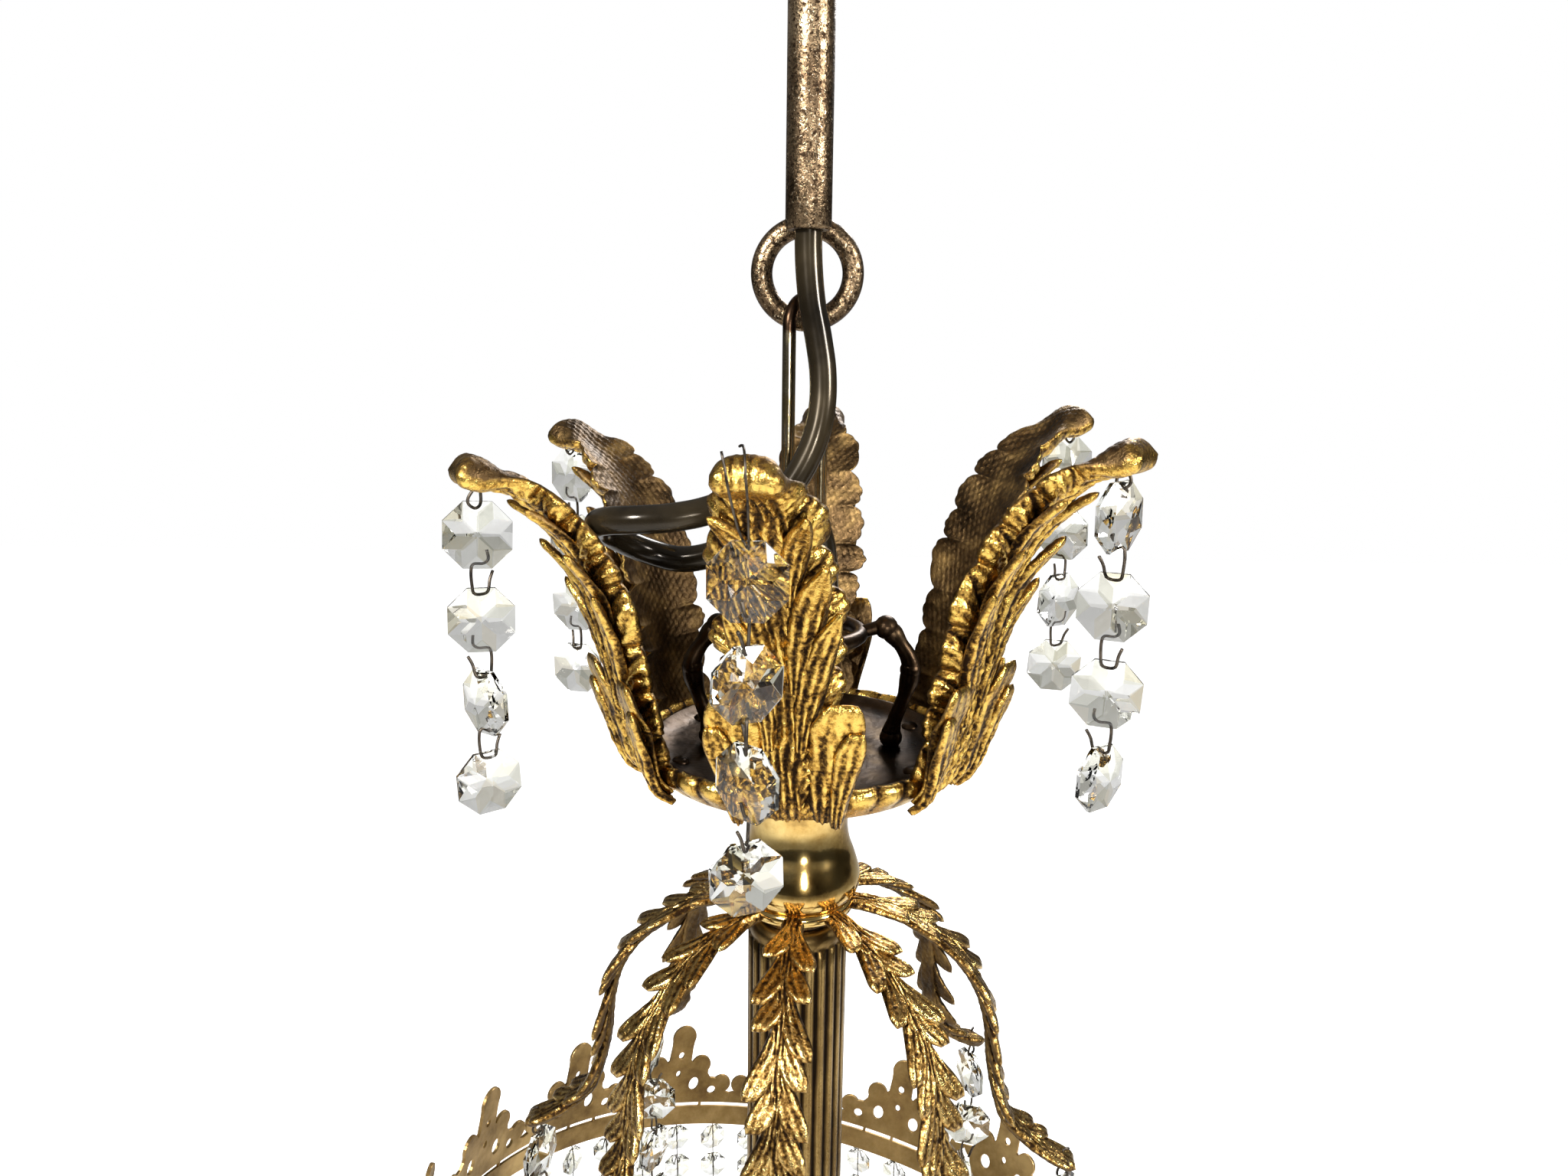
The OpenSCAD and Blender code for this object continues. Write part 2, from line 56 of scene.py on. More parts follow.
MM = 0.001
WELD = 0.045  # points closer than this become one
ROOT, LINK, LIGHT = "ceiling_fitting", "link", "chandelier"
HANG_Y = 7.2  # the chandelier's axis stands this far behind the down rod's
TIPS = -160.0  # height of the crown's leaf tips
ROD_END = 43.0  # the rod's open end, above the leaf tips
RING_R, RING_WIRE = 10.2, 4.8
RING_Z = ROD_END - RING_R + 1.6
LINK_W, LINK_WIRE, LINK_TURN = 12.0, 3.0, 50.0
LINK_TOP, LINK_LOW = 23.1, -45.65
BAR_Z, BAR_D, HANGER_R = -48.0, 3.5, 14.0
CORD_D = 6.0
LEAF_AZ, LEAF_LIFT, LEAF_BEND = -4.7, [0, 1, 3, 0, -3, -5], [-4.2, 0, 0, 0, 0, 0]
LEAF_INSET, LEAF_DROP = [3, 4.4, 3, 3, 3, 4], [20, 13.4, 13.6, 13.6, 13.6, 15]
ARM_AZ, ARM_INSET, ARM_DROP = -5.5, 3.0, 13.6
BEAD_D, BEAD_T, BEAD_PITCH, BEADS, HOOK_WIRE = 14.0, 5.4, 18.0, 4, 0.34
SCREW_R, STEM_R, DISH_FLOOR, STEM_TOP = 31.0, 5.05, -77.0, -71.0
GALLERY_R, GALLERY_Z, BAND_H, CREST_H, PALMS = 106.0, -254.0, 7.2, 38.0, 16
LEAN_RIGHT, LEAN_BACK = math.radians(10), math.radians(7)
BASKET_END, SMALL_D = -446.0, 9.0
LAMP_AZ, LAMP_R, LAMP_Z = 60.0, 40.0, -292.0

# Profiles as radius and height from the leaf tips, and half the casting's width at each point.
LEAF_PATH = [(31.6, -80), (34, -79.2), (36.6, -77.6), (39, -74.4), (41.5, -66), (43.5, -56),
    (46.2, -43), (49.4, -31), (54.5, -20), (61.5, -11), (70, -4.6), (78.6, -0.5)]
LEAF_HALF = [8, 9.4, 10.6, 11.6, 12.2, 13, 13.6, 13.6, 12.8, 10.6, 6.6, 6.2]
ARM_PATH = [(15.2, -117), (22, -118.6), (29, -121.5), (39.5, -129), (45.8, -138), (48.8, -148),
    (50, -159), (52, -168), (54.5, -174.6), (60, -180), (66.5, -184.4), (72.6, -187.5)]
ARM_HALF = [2.8, 2.6, 2.4, 2.3, 2.3, 2.3, 2.4, 2.6, 2.8, 3.2, 3.8, 3.2]
ARM_LOBES = 10
# How far an arm's lobes stand out, at shares of its length.
ARM_REACH = [[0.03, 0.15, 0.5, 0.62, 0.7, 0.8, 0.9], [4.6, 5.4, 5.6, 4.6, 3.6, 4.2, 3]]
BASKET_PATH = [(106, -254), (105, -285), (101, -315), (93, -345), (81, -375), (66, -402),
    (49, -425), (27, -446)]
# The flex from inside the rod to the top of the stem, from the rod's axis and the leaf tips.
CORD_ROUTE = [(0, 0, 56), (0, 0, 49), (0, 0, 43), (0.2, -0.4, 36), (1, -1.2, 28),
    (2.5, -2, 20.5), (3.6, -3, 13), (3.5, -4.2, 5.4), (1.9, -5.2, -1.8), (-1.4, -5.6, -8.8),
    (-6, -5.6, -15.2), (-11.2, -5.2, -21), (-16.8, -4.2, -25.6), (-22.6, -2.6, -28.2),
    (-28.6, -1.5, -29), (-34.4, -1.8, -27.5), (-39.2, -4.4, -25), (-42.6, -8.6, -22.2),
    (-44.1, -14, -19.8), (-43.2, -19.4, -18), (-39.9, -23.8, -16.8), (-34.8, -26.4, -16.2),
    (-28.4, -26.8, -15.7), (-22, -26.2, -14.7), (-16.2, -25, -13), (-10.6, -23.4, -11.3),
    (-4.8, -21.5, -11.9), (0, -19.5, -15.1), (3, -17.2, -20.4), (4.2, -14.2, -26.4),
    (4.6, -10.6, -32.2), (5.2, -6.4, -37.8), (5.7, -2.2, -43.4), (5.7, 0.8, -49),
    (4.2, 3.5, -55), (2, 5.7, -61), (0.5, 6.9, -66.4), (0, HANG_Y, -71.6), (0, HANG_Y, -82)]


# ---------------------------------------------------------------- camera, light and floor
def look():
    """The photograph's viewing angle: just in front of the crown, looking a little down."""
    data = bpy.data.cameras.new("camera")
    data.lens, data.sensor_width, data.clip_start = 25.84, 36, 0.01
    camera = bpy.data.objects.new("camera", data)
    bpy.context.collection.objects.link(camera)
    camera.matrix_world = (Matrix.Translation(Vector((-3, HANG_Y - 260, TIPS + 19.8)) * MM)
        @ Matrix.Rotation(math.radians(0.31), 4, "Z")
        @ Matrix.Rotation(math.radians(90 - 12.4), 4, "X")
        @ Matrix.Rotation(math.radians(0.66), 4, "Z"))
    bpy.context.scene.camera = camera
    bpy.context.scene.view_settings.view_transform = "Standard"


def soft_light(name, place, aim, size, watts):
    data = bpy.data.lights.new(name, "AREA")
    data.energy, data.size, data.shape = watts, size, "DISK"
    lamp = bpy.data.objects.new(name, data)
    bpy.context.collection.objects.link(lamp)
    lamp.location = place
    lamp.rotation_euler = (Vector(aim) - Vector(place)).to_track_quat("-Z", "Y").to_euler()


def studio():
    """A pale floor and a soft room, white to the camera and darker low down to the metal."""
    world = bpy.data.worlds.new("studio")
    bpy.context.scene.world = world
    world.use_nodes = True
    t = world.node_tree
    t.nodes.clear()
    out = t.nodes.new("ShaderNodeOutputWorld")
    mix, path = t.nodes.new("ShaderNodeMixShader"), t.nodes.new("ShaderNodeLightPath")
    seen, room = t.nodes.new("ShaderNodeBackground"), t.nodes.new("ShaderNodeBackground")
    seen.inputs["Color"].default_value = (1, 1, 1, 1)
    seen.inputs["Strength"].default_value = 1.0
    where = t.nodes.new("ShaderNodeTexCoord")
    apart = t.nodes.new("ShaderNodeSeparateXYZ")
    ramp = t.nodes.new("ShaderNodeValToRGB")
    span = t.nodes.new("ShaderNodeMapRange")
    span.inputs["From Min"].default_value, span.inputs["From Max"].default_value = -1, 1
    stops = [(0.0, 0.42), (0.3, 0.55), (0.44, 0.08), (0.55, 0.03), (0.64, 0.5), (0.8, 0.22), (1.0, 0.8)]
    while len(ramp.color_ramp.elements) < len(stops):
        ramp.color_ramp.elements.new(0.5)
    for element, (at, value) in zip(ramp.color_ramp.elements, stops):
        element.position, element.color = at, (value, value, value, 1)
    room.inputs["Strength"].default_value = 0.5
    t.links.new(where.outputs["Generated"], apart.inputs[0])
    t.links.new(apart.outputs["Z"], span.inputs["Value"])
    t.links.new(span.outputs["Result"], ramp.inputs["Fac"])
    t.links.new(ramp.outputs["Color"], room.inputs["Color"])
    straight = t.nodes.new("ShaderNodeMath")  # half as bright through the glass as seen directly
    straight.operation, straight.use_clamp = "MULTIPLY_ADD", True
    straight.inputs[1].default_value = 0.5
    t.links.new(path.outputs["Is Transmission Ray"], straight.inputs[0])
    t.links.new(path.outputs["Is Camera Ray"], straight.inputs[2])
    t.links.new(straight.outputs[0], mix.inputs["Fac"])
    t.links.new(room.outputs["Background"], mix.inputs[1])
    t.links.new(seen.outputs["Background"], mix.inputs[2])
    t.links.new(mix.outputs["Shader"], out.inputs["Surface"])
    soft_light("key", (-0.7, -1.0, 0.45), (0, 0, -0.25), 0.30, 30)
    soft_light("front", (0.25, -1.3, -0.1), (0, 0, -0.25), 0.16, 7)
    soft_light("fill", (1.0, -0.6, 0.2), (0, 0, -0.3), 0.28, 15)
    soft_light("back", (0.4, 1.1, 0.5), (0, 0, -0.3), 0.5, 12)
    bpy.ops.mesh.primitive_plane_add(size=8, location=(0, 0, -0.95))
    floor = bpy.context.object
    floor.name = "floor"
    paint = plain("floor_paint", (0.93, 0.93, 0.92), 0, 0.8, Emission_Color=(1, 1, 1, 1))
    seen, most = (paint.node_tree.nodes.new("ShaderNode" + kind) for kind in ("LightPath", "Math"))
    most.operation = "MULTIPLY_ADD"
    most.inputs[1].default_value = 0.5
    for index, kind in ((0, "Transmission"), (2, "Camera")):
        paint.node_tree.links.new(seen.outputs[f"Is {kind} Ray"], most.inputs[index])
    paint.node_tree.links.new(most.outputs[0],
        paint.node_tree.nodes["Principled BSDF"].inputs["Emission Strength"])
    floor.data.materials.append(paint)


# ---------------------------------------------------------------- materials
def plain(name, color, metallic, roughness, **sockets):
    """A Principled material. Sockets are further inputs, such as ior=1.5."""
    m = bpy.data.materials.new(name)
    m.use_nodes = True
    shader = m.node_tree.nodes["Principled BSDF"]
    shader.inputs["Base Color"].default_value = (*color, 1)
    shader.inputs["Metallic"].default_value = metallic
    shader.inputs["Roughness"].default_value = roughness
    for key, value in sockets.items():
        shader.inputs[key.replace("_", " ")].default_value = value
    return m


class Paint:
    """Adds nodes to one material: each method returns an output socket."""

    def __init__(self, name, metallic=1.0, roughness=0.3, **sockets):
        self.material = plain(name, (0.8, 0.8, 0.8), metallic, roughness, **sockets)
        self.tree = self.material.node_tree
        self.shader = self.tree.nodes["Principled BSDF"]
        self.place = self.tree.nodes.new("ShaderNodeTexCoord").outputs["Object"]

    def node(self, kind, **inputs):
        n = self.tree.nodes.new("ShaderNode" + kind)
        for key, value in inputs.items():
            slot = n.inputs[key.replace("_", " ")]
            if isinstance(value, bpy.types.NodeSocket):
                self.tree.links.new(value, slot)
            else:
                slot.default_value = value
        return n

    def clouds(self, scale, detail=4.0, rough=0.55):
        return self.node("TexNoise", Vector=self.place, Scale=scale, Detail=detail,
            Roughness=rough).outputs["Fac"]

    def value(self, name, channel=0):
        """One channel of the mesh's finish colours: 0 is the recesses' antique patina with painted shade, 1
        is plain back.
        """
        n = self.tree.nodes.new("ShaderNodeAttribute")
        n.attribute_name = name
        return self.node("SeparateColor", Color=n.outputs["Color"]).outputs[channel]

    def math(self, operation, a, b=0.5, clamp=True):
        n = self.node("Math")
        n.operation, n.use_clamp = operation, clamp
        for socket, value in zip(n.inputs, (a, b)):
            if isinstance(value, bpy.types.NodeSocket):
                self.tree.links.new(value, socket)
            else:
                socket.default_value = value
        return n.outputs[0]

    def ramp(self, fac, stops):
        n = self.node("ValToRGB", Fac=fac)
        while len(n.color_ramp.elements) < len(stops):
            n.color_ramp.elements.new(0.5)
        for element, (at, color) in zip(n.color_ramp.elements, stops):
            element.position, element.color = at, (*color, 1)
        return n.outputs["Color"]

    def levels(self, fac, low, high, out_low=0.0, out_high=1.0, clamp=True):
        n = self.node("MapRange", Value=fac, From_Min=low, From_Max=high, To_Min=out_low,
            To_Max=out_high)
        n.clamp = clamp
        return n.outputs["Result"]

    def blend(self, fac, a, b, mode="MIX"):
        n = self.tree.nodes.new("ShaderNodeMix")
        n.data_type, n.blend_type = "RGBA", mode
        for index, value in ((0, fac), (6, a), (7, b)):
            if isinstance(value, bpy.types.NodeSocket):
                self.tree.links.new(value, n.inputs[index])
            else:
                n.inputs[index].default_value = (*value, 1) if index else value
        return n.outputs[2]

    def finish(self, color=None, roughness=None, bump=None, depth=0.0002):
        link = self.tree.links.new
        if color is not None:
            link(color, self.shader.inputs["Base Color"])
        if roughness is not None:
            link(roughness, self.shader.inputs["Roughness"])
        if bump is not None:
            n = self.node("Bump", Height=bump, Strength=1.0, Distance=depth)
            link(n.outputs["Normal"], self.shader.inputs["Normal"])
        return self.material


def gilt_paint(name="gilt_cast", tone=(0.86, 0.56, 0.13), age=0.0):
    """Cast brass: bright yellow gold on the ridges, dark brown antique patina in the grooves deepened with
    painted shade, duller behind.
    """
    p = Paint(name, roughness=0.3)
    grain, patch, fine = p.clouds(1100), p.clouds(130, 6), p.clouds(2600, 2)
    speckle = p.levels(grain, 0.35, 0.7, -0.2 + age, 0.26 + age, False)
    # darker in the grooves: antique patina, deepened towards black as painted shade
    patina_and_painted_shade = p.math("ADD", p.value("finish", 0), speckle)
    patina_and_painted_shade = p.math("ADD", patina_and_painted_shade, p.levels(patch, 0.35, 0.7, -0.14, 0.16, False))
    gold = p.ramp(patina_and_painted_shade, [(0.06, tone), (0.3, tuple(c * w for c, w in zip(tone, (0.66, 0.58, 0.5)))),
        (0.5, (0.15, 0.078, 0.018)), (0.72, (0.018, 0.009, 0.004))])
    back = p.ramp(patch, [(0.3, (0.03, 0.018, 0.009)), (0.5, (0.11, 0.066, 0.028)),
        (0.72, (0.30, 0.19, 0.07))])
    color = p.blend(p.value("finish", 1), gold, back)
    rough = p.math("ADD", p.levels(patina_and_painted_shade, 0.1, 0.9, 0.12, 0.5), p.levels(patch, 0.3, 0.8, 0, 0.1))
    rough = p.math("ADD", rough, p.math("MULTIPLY", p.value("finish", 1), 0.2))
    waves = p.math("ADD", p.math("MULTIPLY", patch, 1.6, False), p.math("MULTIPLY", fine, 0.35), False)
    bumps = p.math("ADD", p.math("MULTIPLY", grain, 0.9), waves, False)
    return p.finish(color, rough, bumps, 0.00024)


def polished_paint(name="polished_brass", tone=(0.86, 0.62, 0.24)):
    p = Paint(name, roughness=0.12)
    # dark patches painted into the colour: a painted reflection of the dark bands that polished brass
    # mirrors
    painted_reflection_patches = p.clouds(75, 7, 0.65)
    dark, mid = (tuple(c * w for c, w in zip(tone, k)) for k in ((0.22, 0.17, 0.12), (0.7, 0.62, 0.5)))
    color = p.ramp(painted_reflection_patches, [(0.34, dark), (0.46, mid), (0.6, tone)])
    return p.finish(color, p.levels(painted_reflection_patches, 0.3, 0.7, 0.16, 0.07), p.clouds(260, 3), 0.00003)


def antique_paint():
    """Speckled, antiqued tube: pinkish tan, with dark specks and small bright ones."""
    p = Paint("antique_brass", roughness=0.38)
    specks, fine = p.clouds(700, 3, 0.7), p.clouds(1900, 2, 0.6)
    base = p.ramp(p.clouds(110, 5), [(0.3, (0.09, 0.056, 0.03)), (0.55, (0.25, 0.17, 0.095)),
        (0.8, (0.48, 0.35, 0.21))])
    dark = p.blend(p.levels(specks, 0.51, 0.6), base, (0.03, 0.018, 0.010))
    color = p.blend(p.levels(fine, 0.62, 0.72), dark, (0.80, 0.64, 0.42))
    return p.finish(color, p.levels(specks, 0.4, 0.7, 0.22, 0.6), specks, 0.0002)


def reeded_paint():
    p = Paint("reeded_brass", roughness=0.34)
    patch = p.clouds(70, 6)
    # darker in the grooves between the reeds, to near black: antique patina deepened with painted shade
    patina_and_painted_shade = p.math("ADD", p.value("finish", 0), p.levels(patch, 0.3, 0.75, -0.08, 0.26))
    color = p.ramp(patina_and_painted_shade, [(0.08, (0.38, 0.25, 0.09)), (0.36, (0.13, 0.078, 0.026)),
        (0.7, (0.014, 0.008, 0.004))])
    return p.finish(color, p.levels(patina_and_painted_shade, 0.1, 0.9, 0.24, 0.55), p.clouds(500), 0.00012)


def sheet_paint():
    """The gallery's thin stamped sheet: matt tan and brown, darker in blotches."""
    p = Paint("gallery_sheet", roughness=0.42)
    patch = p.clouds(55, 7, 0.65)
    color = p.ramp(patch, [(0.3, (0.13, 0.075, 0.028)), (0.5, (0.34, 0.22, 0.085)),
        (0.68, (0.56, 0.38, 0.16))])
    return p.finish(color, p.levels(patch, 0.3, 0.7, 0.52, 0.34), p.clouds(420, 5), 0.00014)


def bronze_paint():
    p = Paint("dark_bronze", roughness=0.3)
    patch = p.clouds(85, 6)
    color = p.ramp(patch, [(0.32, (0.022, 0.014, 0.009)), (0.55, (0.065, 0.040, 0.022)),
        (0.75, (0.20, 0.135, 0.07))])
    return p.finish(color, p.levels(patch, 0.3, 0.75, 0.26, 0.5), p.clouds(320), 0.0002)


def link_paint():
    """Bright brass wire, dark brown where it hooks over the ring."""
    p = Paint("link_brass", roughness=0.14)
    height = p.node("SeparateXYZ", Vector=p.place).outputs["Z"]
    bright = p.ramp(p.clouds(150, 4), [(0.4, (0.80, 0.60, 0.30)), (0.6, (0.98, 0.84, 0.56))])
    # darker above this height, where the link hooks over the ring
    top = (TIPS + LINK_TOP - 4) * MM
    dark_hook_band = p.levels(p.math("ADD", height, p.levels(p.clouds(300), 0, 1, -0.002, 0.002), False),
        top - 0.001, top + 0.003)
    color = p.blend(dark_hook_band, bright, (0.05, 0.028, 0.016))
    return p.finish(color, p.levels(dark_hook_band, 0, 1, 0.13, 0.3), p.clouds(400, 3), 0.00004)


def wire_paint():
    p = Paint("hook_wire", roughness=0.42)
    color = p.ramp(p.clouds(500), [(0.35, (0.035, 0.03, 0.026)), (0.65, (0.13, 0.105, 0.08))])
    return p.finish(color)


def flex_paint():
    """Dark olive-brown PVC, glossy, a little lighter where the copper shows through."""
    p = Paint("dark_flex", metallic=0.5, roughness=0.2, IOR=1.4)
    color = p.ramp(p.clouds(45, 4), [(0.35, (0.008, 0.006, 0.004)), (0.7, (0.052, 0.038, 0.020))])
    return p.finish(color, p.levels(p.clouds(90, 3), 0.3, 0.7, 0.14, 0.24), p.clouds(35, 2), 0.0001)


def crystal_paint():
    """Clear cut glass. Each facet keeps its own faint painted tint, a painted shade for the light that
    facet reflects and refracts.
    """
    p = Paint("cut_glass", metallic=0.0, roughness=0.0, IOR=1.55, Transmission_Weight=1.0)
    painted_facet_shade = p.tree.nodes.new("ShaderNodeAttribute")
    painted_facet_shade.attribute_name = "painted_facet_shade"
    return p.finish(painted_facet_shade.outputs["Color"], p.levels(p.clouds(240, 2), 0.4, 0.8, 0.0, 0.05))


def lamp_glass_paint():
    p = Paint("lamp_glass", metallic=0.0, roughness=0.0, IOR=1.45, Transmission_Weight=1.0)
    return p.finish(p.ramp(p.clouds(30, 2), [(0.3, (0.93, 0.91, 0.86)), (0.7, (0.98, 0.97, 0.94))]),
        p.levels(p.clouds(240, 2), 0.4, 0.8, 0.0, 0.05))


def opaque_paint(name, color, roughness=0.5):
    p = Paint(name, metallic=0.0, roughness=roughness)
    dark = tuple(c * 0.86 for c in color)
    return p.finish(p.ramp(p.clouds(80, 4), [(0.3, dark), (0.7, color)]), None, p.clouds(900, 3),
        0.00004)


def steel_paint():
    p = Paint("zinc_steel", roughness=0.36)
    return p.finish(p.ramp(p.clouds(130, 5), [(0.3, (0.48, 0.49, 0.50)), (0.7, (0.74, 0.74, 0.73))]),
        p.levels(p.clouds(60), 0.3, 0.7, 0.3, 0.48), p.clouds(700), 0.00005)


# ---------------------------------------------------------------- shapes, in millimetres
def spline(points, n, dims=None):
    """n points at equal steps of length along a smooth curve through the given ones."""
    p = np.asarray(points, float)
    e = np.vstack([2 * p[0] - p[1], p, 2 * p[-1] - p[-2]])
    t = np.linspace(0, len(p) - 1, 24 * len(p))
    i = np.minimum(t.astype(int), len(p) - 2)
    f = (t - i)[:, None]
    a, b, c, d = e[i], e[i + 1], e[i + 2], e[i + 3]
    q = (2 * b + (c - a) * f + (2 * a - 5 * b + 4 * c - d) * f**2
        + (3 * b - a - 3 * c + d) * f**3) / 2
    s = np.r_[0, np.cumsum(np.linalg.norm(np.diff(q[:, :dims], axis=0), axis=1))]
    at = np.linspace(0, s[-1], n)
    return np.column_stack([np.interp(at, s, q[:, k]) for k in range(p.shape[1])])


def unit(v):
    return v / np.maximum(np.linalg.norm(v, axis=-1, keepdims=True), 1e-12)


def frac(v):
    return v - np.floor(v)


def smooth(v, low=0.0, high=1.0):
    t = np.clip((v - low) / (high - low), 0, 1)
    return t * t * (3 - 2 * t)


def tube(path, radius, sides=10, closed=False):
    """A round bar along the path. The radius is one number or one for each point."""
    path = np.asarray(path, float)
    n = len(path)
    radius = np.broadcast_to(radius, n)
    along = unit(np.roll(path, -1, 0) - np.roll(path, 1, 0)) if closed else unit(np.gradient(path, axis=0))
    side = np.zeros_like(path)
    v = np.array([1.0, 0.2, 0.1])
    for i in range(n):
        v = unit(v - along[i] * (v @ along[i]))
        side[i] = v
    up = np.cross(along, side)
    w = np.linspace(0, 2 * np.pi, sides, endpoint=False)
    points = (path[:, None] + radius[:, None, None] * (side[:, None] * np.cos(w)[None, :, None]
        + up[:, None] * np.sin(w)[None, :, None])).reshape(-1, 3)
    faces = []
    for i in range(n if closed else n - 1):
        j = (i + 1) % n
        shift = 0
        if closed and j == 0:  # join the last ring to the first where they match best
            shift = int(np.argmin(np.linalg.norm(points[:sides] - points[i * sides], axis=1)))
        faces += [(i * sides + k, i * sides + (k + 1) % sides, j * sides + (k + 1 + shift) % sides,
            j * sides + (k + shift) % sides) for k in range(sides)]
    if not closed:
        faces += [tuple(range(sides))[::-1], tuple((n - 1) * sides + k for k in range(sides))]
    return points, faces


def lathe(profile, steps=64, ripple=None):
    """A turned shape from (radius, z) pairs. Ripple adds to the radius: ripple(angle, row)."""
    profile = np.asarray(profile, float)
    rows, w = len(profile), np.linspace(0, 2 * np.pi, steps, endpoint=False)
    points = np.zeros((rows, steps, 3))
    for i, (r, z) in enumerate(profile):
        radius = np.maximum(r + (ripple(w, i) if ripple else 0), 0)
        points[i] = np.column_stack([radius * np.cos(w), radius * np.sin(w), np.full(steps, z)])
    faces = [(i * steps + k, i * steps + (k + 1) % steps, (i + 1) * steps + (k + 1) % steps,
        (i + 1) * steps + k) for i in range(rows - 1) for k in range(steps)]
    return points.reshape(-1, 3), faces


def closed_lathe(profile, steps=64):
    """A turned ring, whose profile comes back to its first point."""
    return lathe(list(profile) + [profile[0]], steps)


def ball(centre, r, squash=1.0, rows=10, steps=16):
    w = np.linspace(0, math.pi, rows)
    points, faces = lathe([(r * math.sin(a), r * squash * math.cos(a)) for a in w], steps)
    return points + np.asarray(centre, float), faces


def merged(parts):
    points, faces, base = [], [], 0
    for p, f in parts:
        points.append(np.asarray(p, float))
        faces += [tuple(base + i for i in face) for face in f]
        base += len(p)
    return np.vstack(points), faces


def spun(points, az):
    """Turns what is drawn along +X to a direction counted from the front towards +X."""
    a = math.radians(az - 90)
    p = np.asarray(points, float)
    return np.column_stack([p[:, 0] * math.cos(a) - p[:, 1] * math.sin(a),
        p[:, 0] * math.sin(a) + p[:, 1] * math.cos(a), p[:, 2]])


def stood(shape, out, az):
    """A shape drawn on the axis, moved out and turned to its direction."""
    points, faces = shape
    return spun(points + np.array([out, 0, 0]), az), faces


def hung(points):
    """From the chandelier's own axis and leaf tips to the row's frame."""
    return np.asarray(points, float) + [0, HANG_Y, TIPS]


def hung_shape(shape):
    """The same move, for a shape's points and faces together."""
    points, faces = shape
    return hung(points), faces


def leaned(points):
    """The gallery's own tilt, down to its right and to its back, about its lower edge."""
    p = np.asarray(points, float)
    x, y, z = p.T
    c, s = math.cos(LEAN_BACK), math.sin(LEAN_BACK)
    y, z = y * c + z * s, z * c - y * s
    c, s = math.cos(LEAN_RIGHT), math.sin(LEAN_RIGHT)
    x, z = x * c + z * s, z * c - x * s
    return np.column_stack([x, y, z + GALLERY_Z])


def piece(name, shape, paint, body, replaces=(), finish=None, painted_facet_shade=None, flat=False):
    """Makes the object, puts it on its body, and says which CAD nodes it stands for."""
    points, faces = shape
    mesh = bpy.data.meshes.new(name)
    mesh.from_pydata((np.asarray(points) * MM).tolist(), [], faces)
    if finish is not None:
        layer = mesh.attributes.new("finish", "FLOAT_COLOR", "POINT")
        layer.data.foreach_set("color", np.column_stack([finish, np.ones(len(finish))]).ravel())
    # each facet's painted shade, for the cut glass
    if painted_facet_shade is not None:
        layer = mesh.attributes.new("painted_facet_shade", "FLOAT_COLOR", "FACE")
        layer.data.foreach_set("color", np.column_stack([painted_facet_shade, np.ones(len(painted_facet_shade))]).ravel())
    bm = bmesh.new()
    bm.from_mesh(mesh)
    bmesh.ops.remove_doubles(bm, verts=bm.verts[:], dist=WELD * MM)
    bmesh.ops.recalc_face_normals(bm, faces=bm.faces[:])
    bm.to_mesh(mesh)
    bm.free()
    mesh.polygons.foreach_set("use_smooth", [not flat] * len(mesh.polygons))
    mesh.materials.append(paint)
    mesh.update()
    o = bpy.data.objects.new(name, mesh)
    bpy.context.collection.objects.link(o)
    if body:
        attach(o, body)
    if replaces:
        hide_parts(*replaces)
    return o


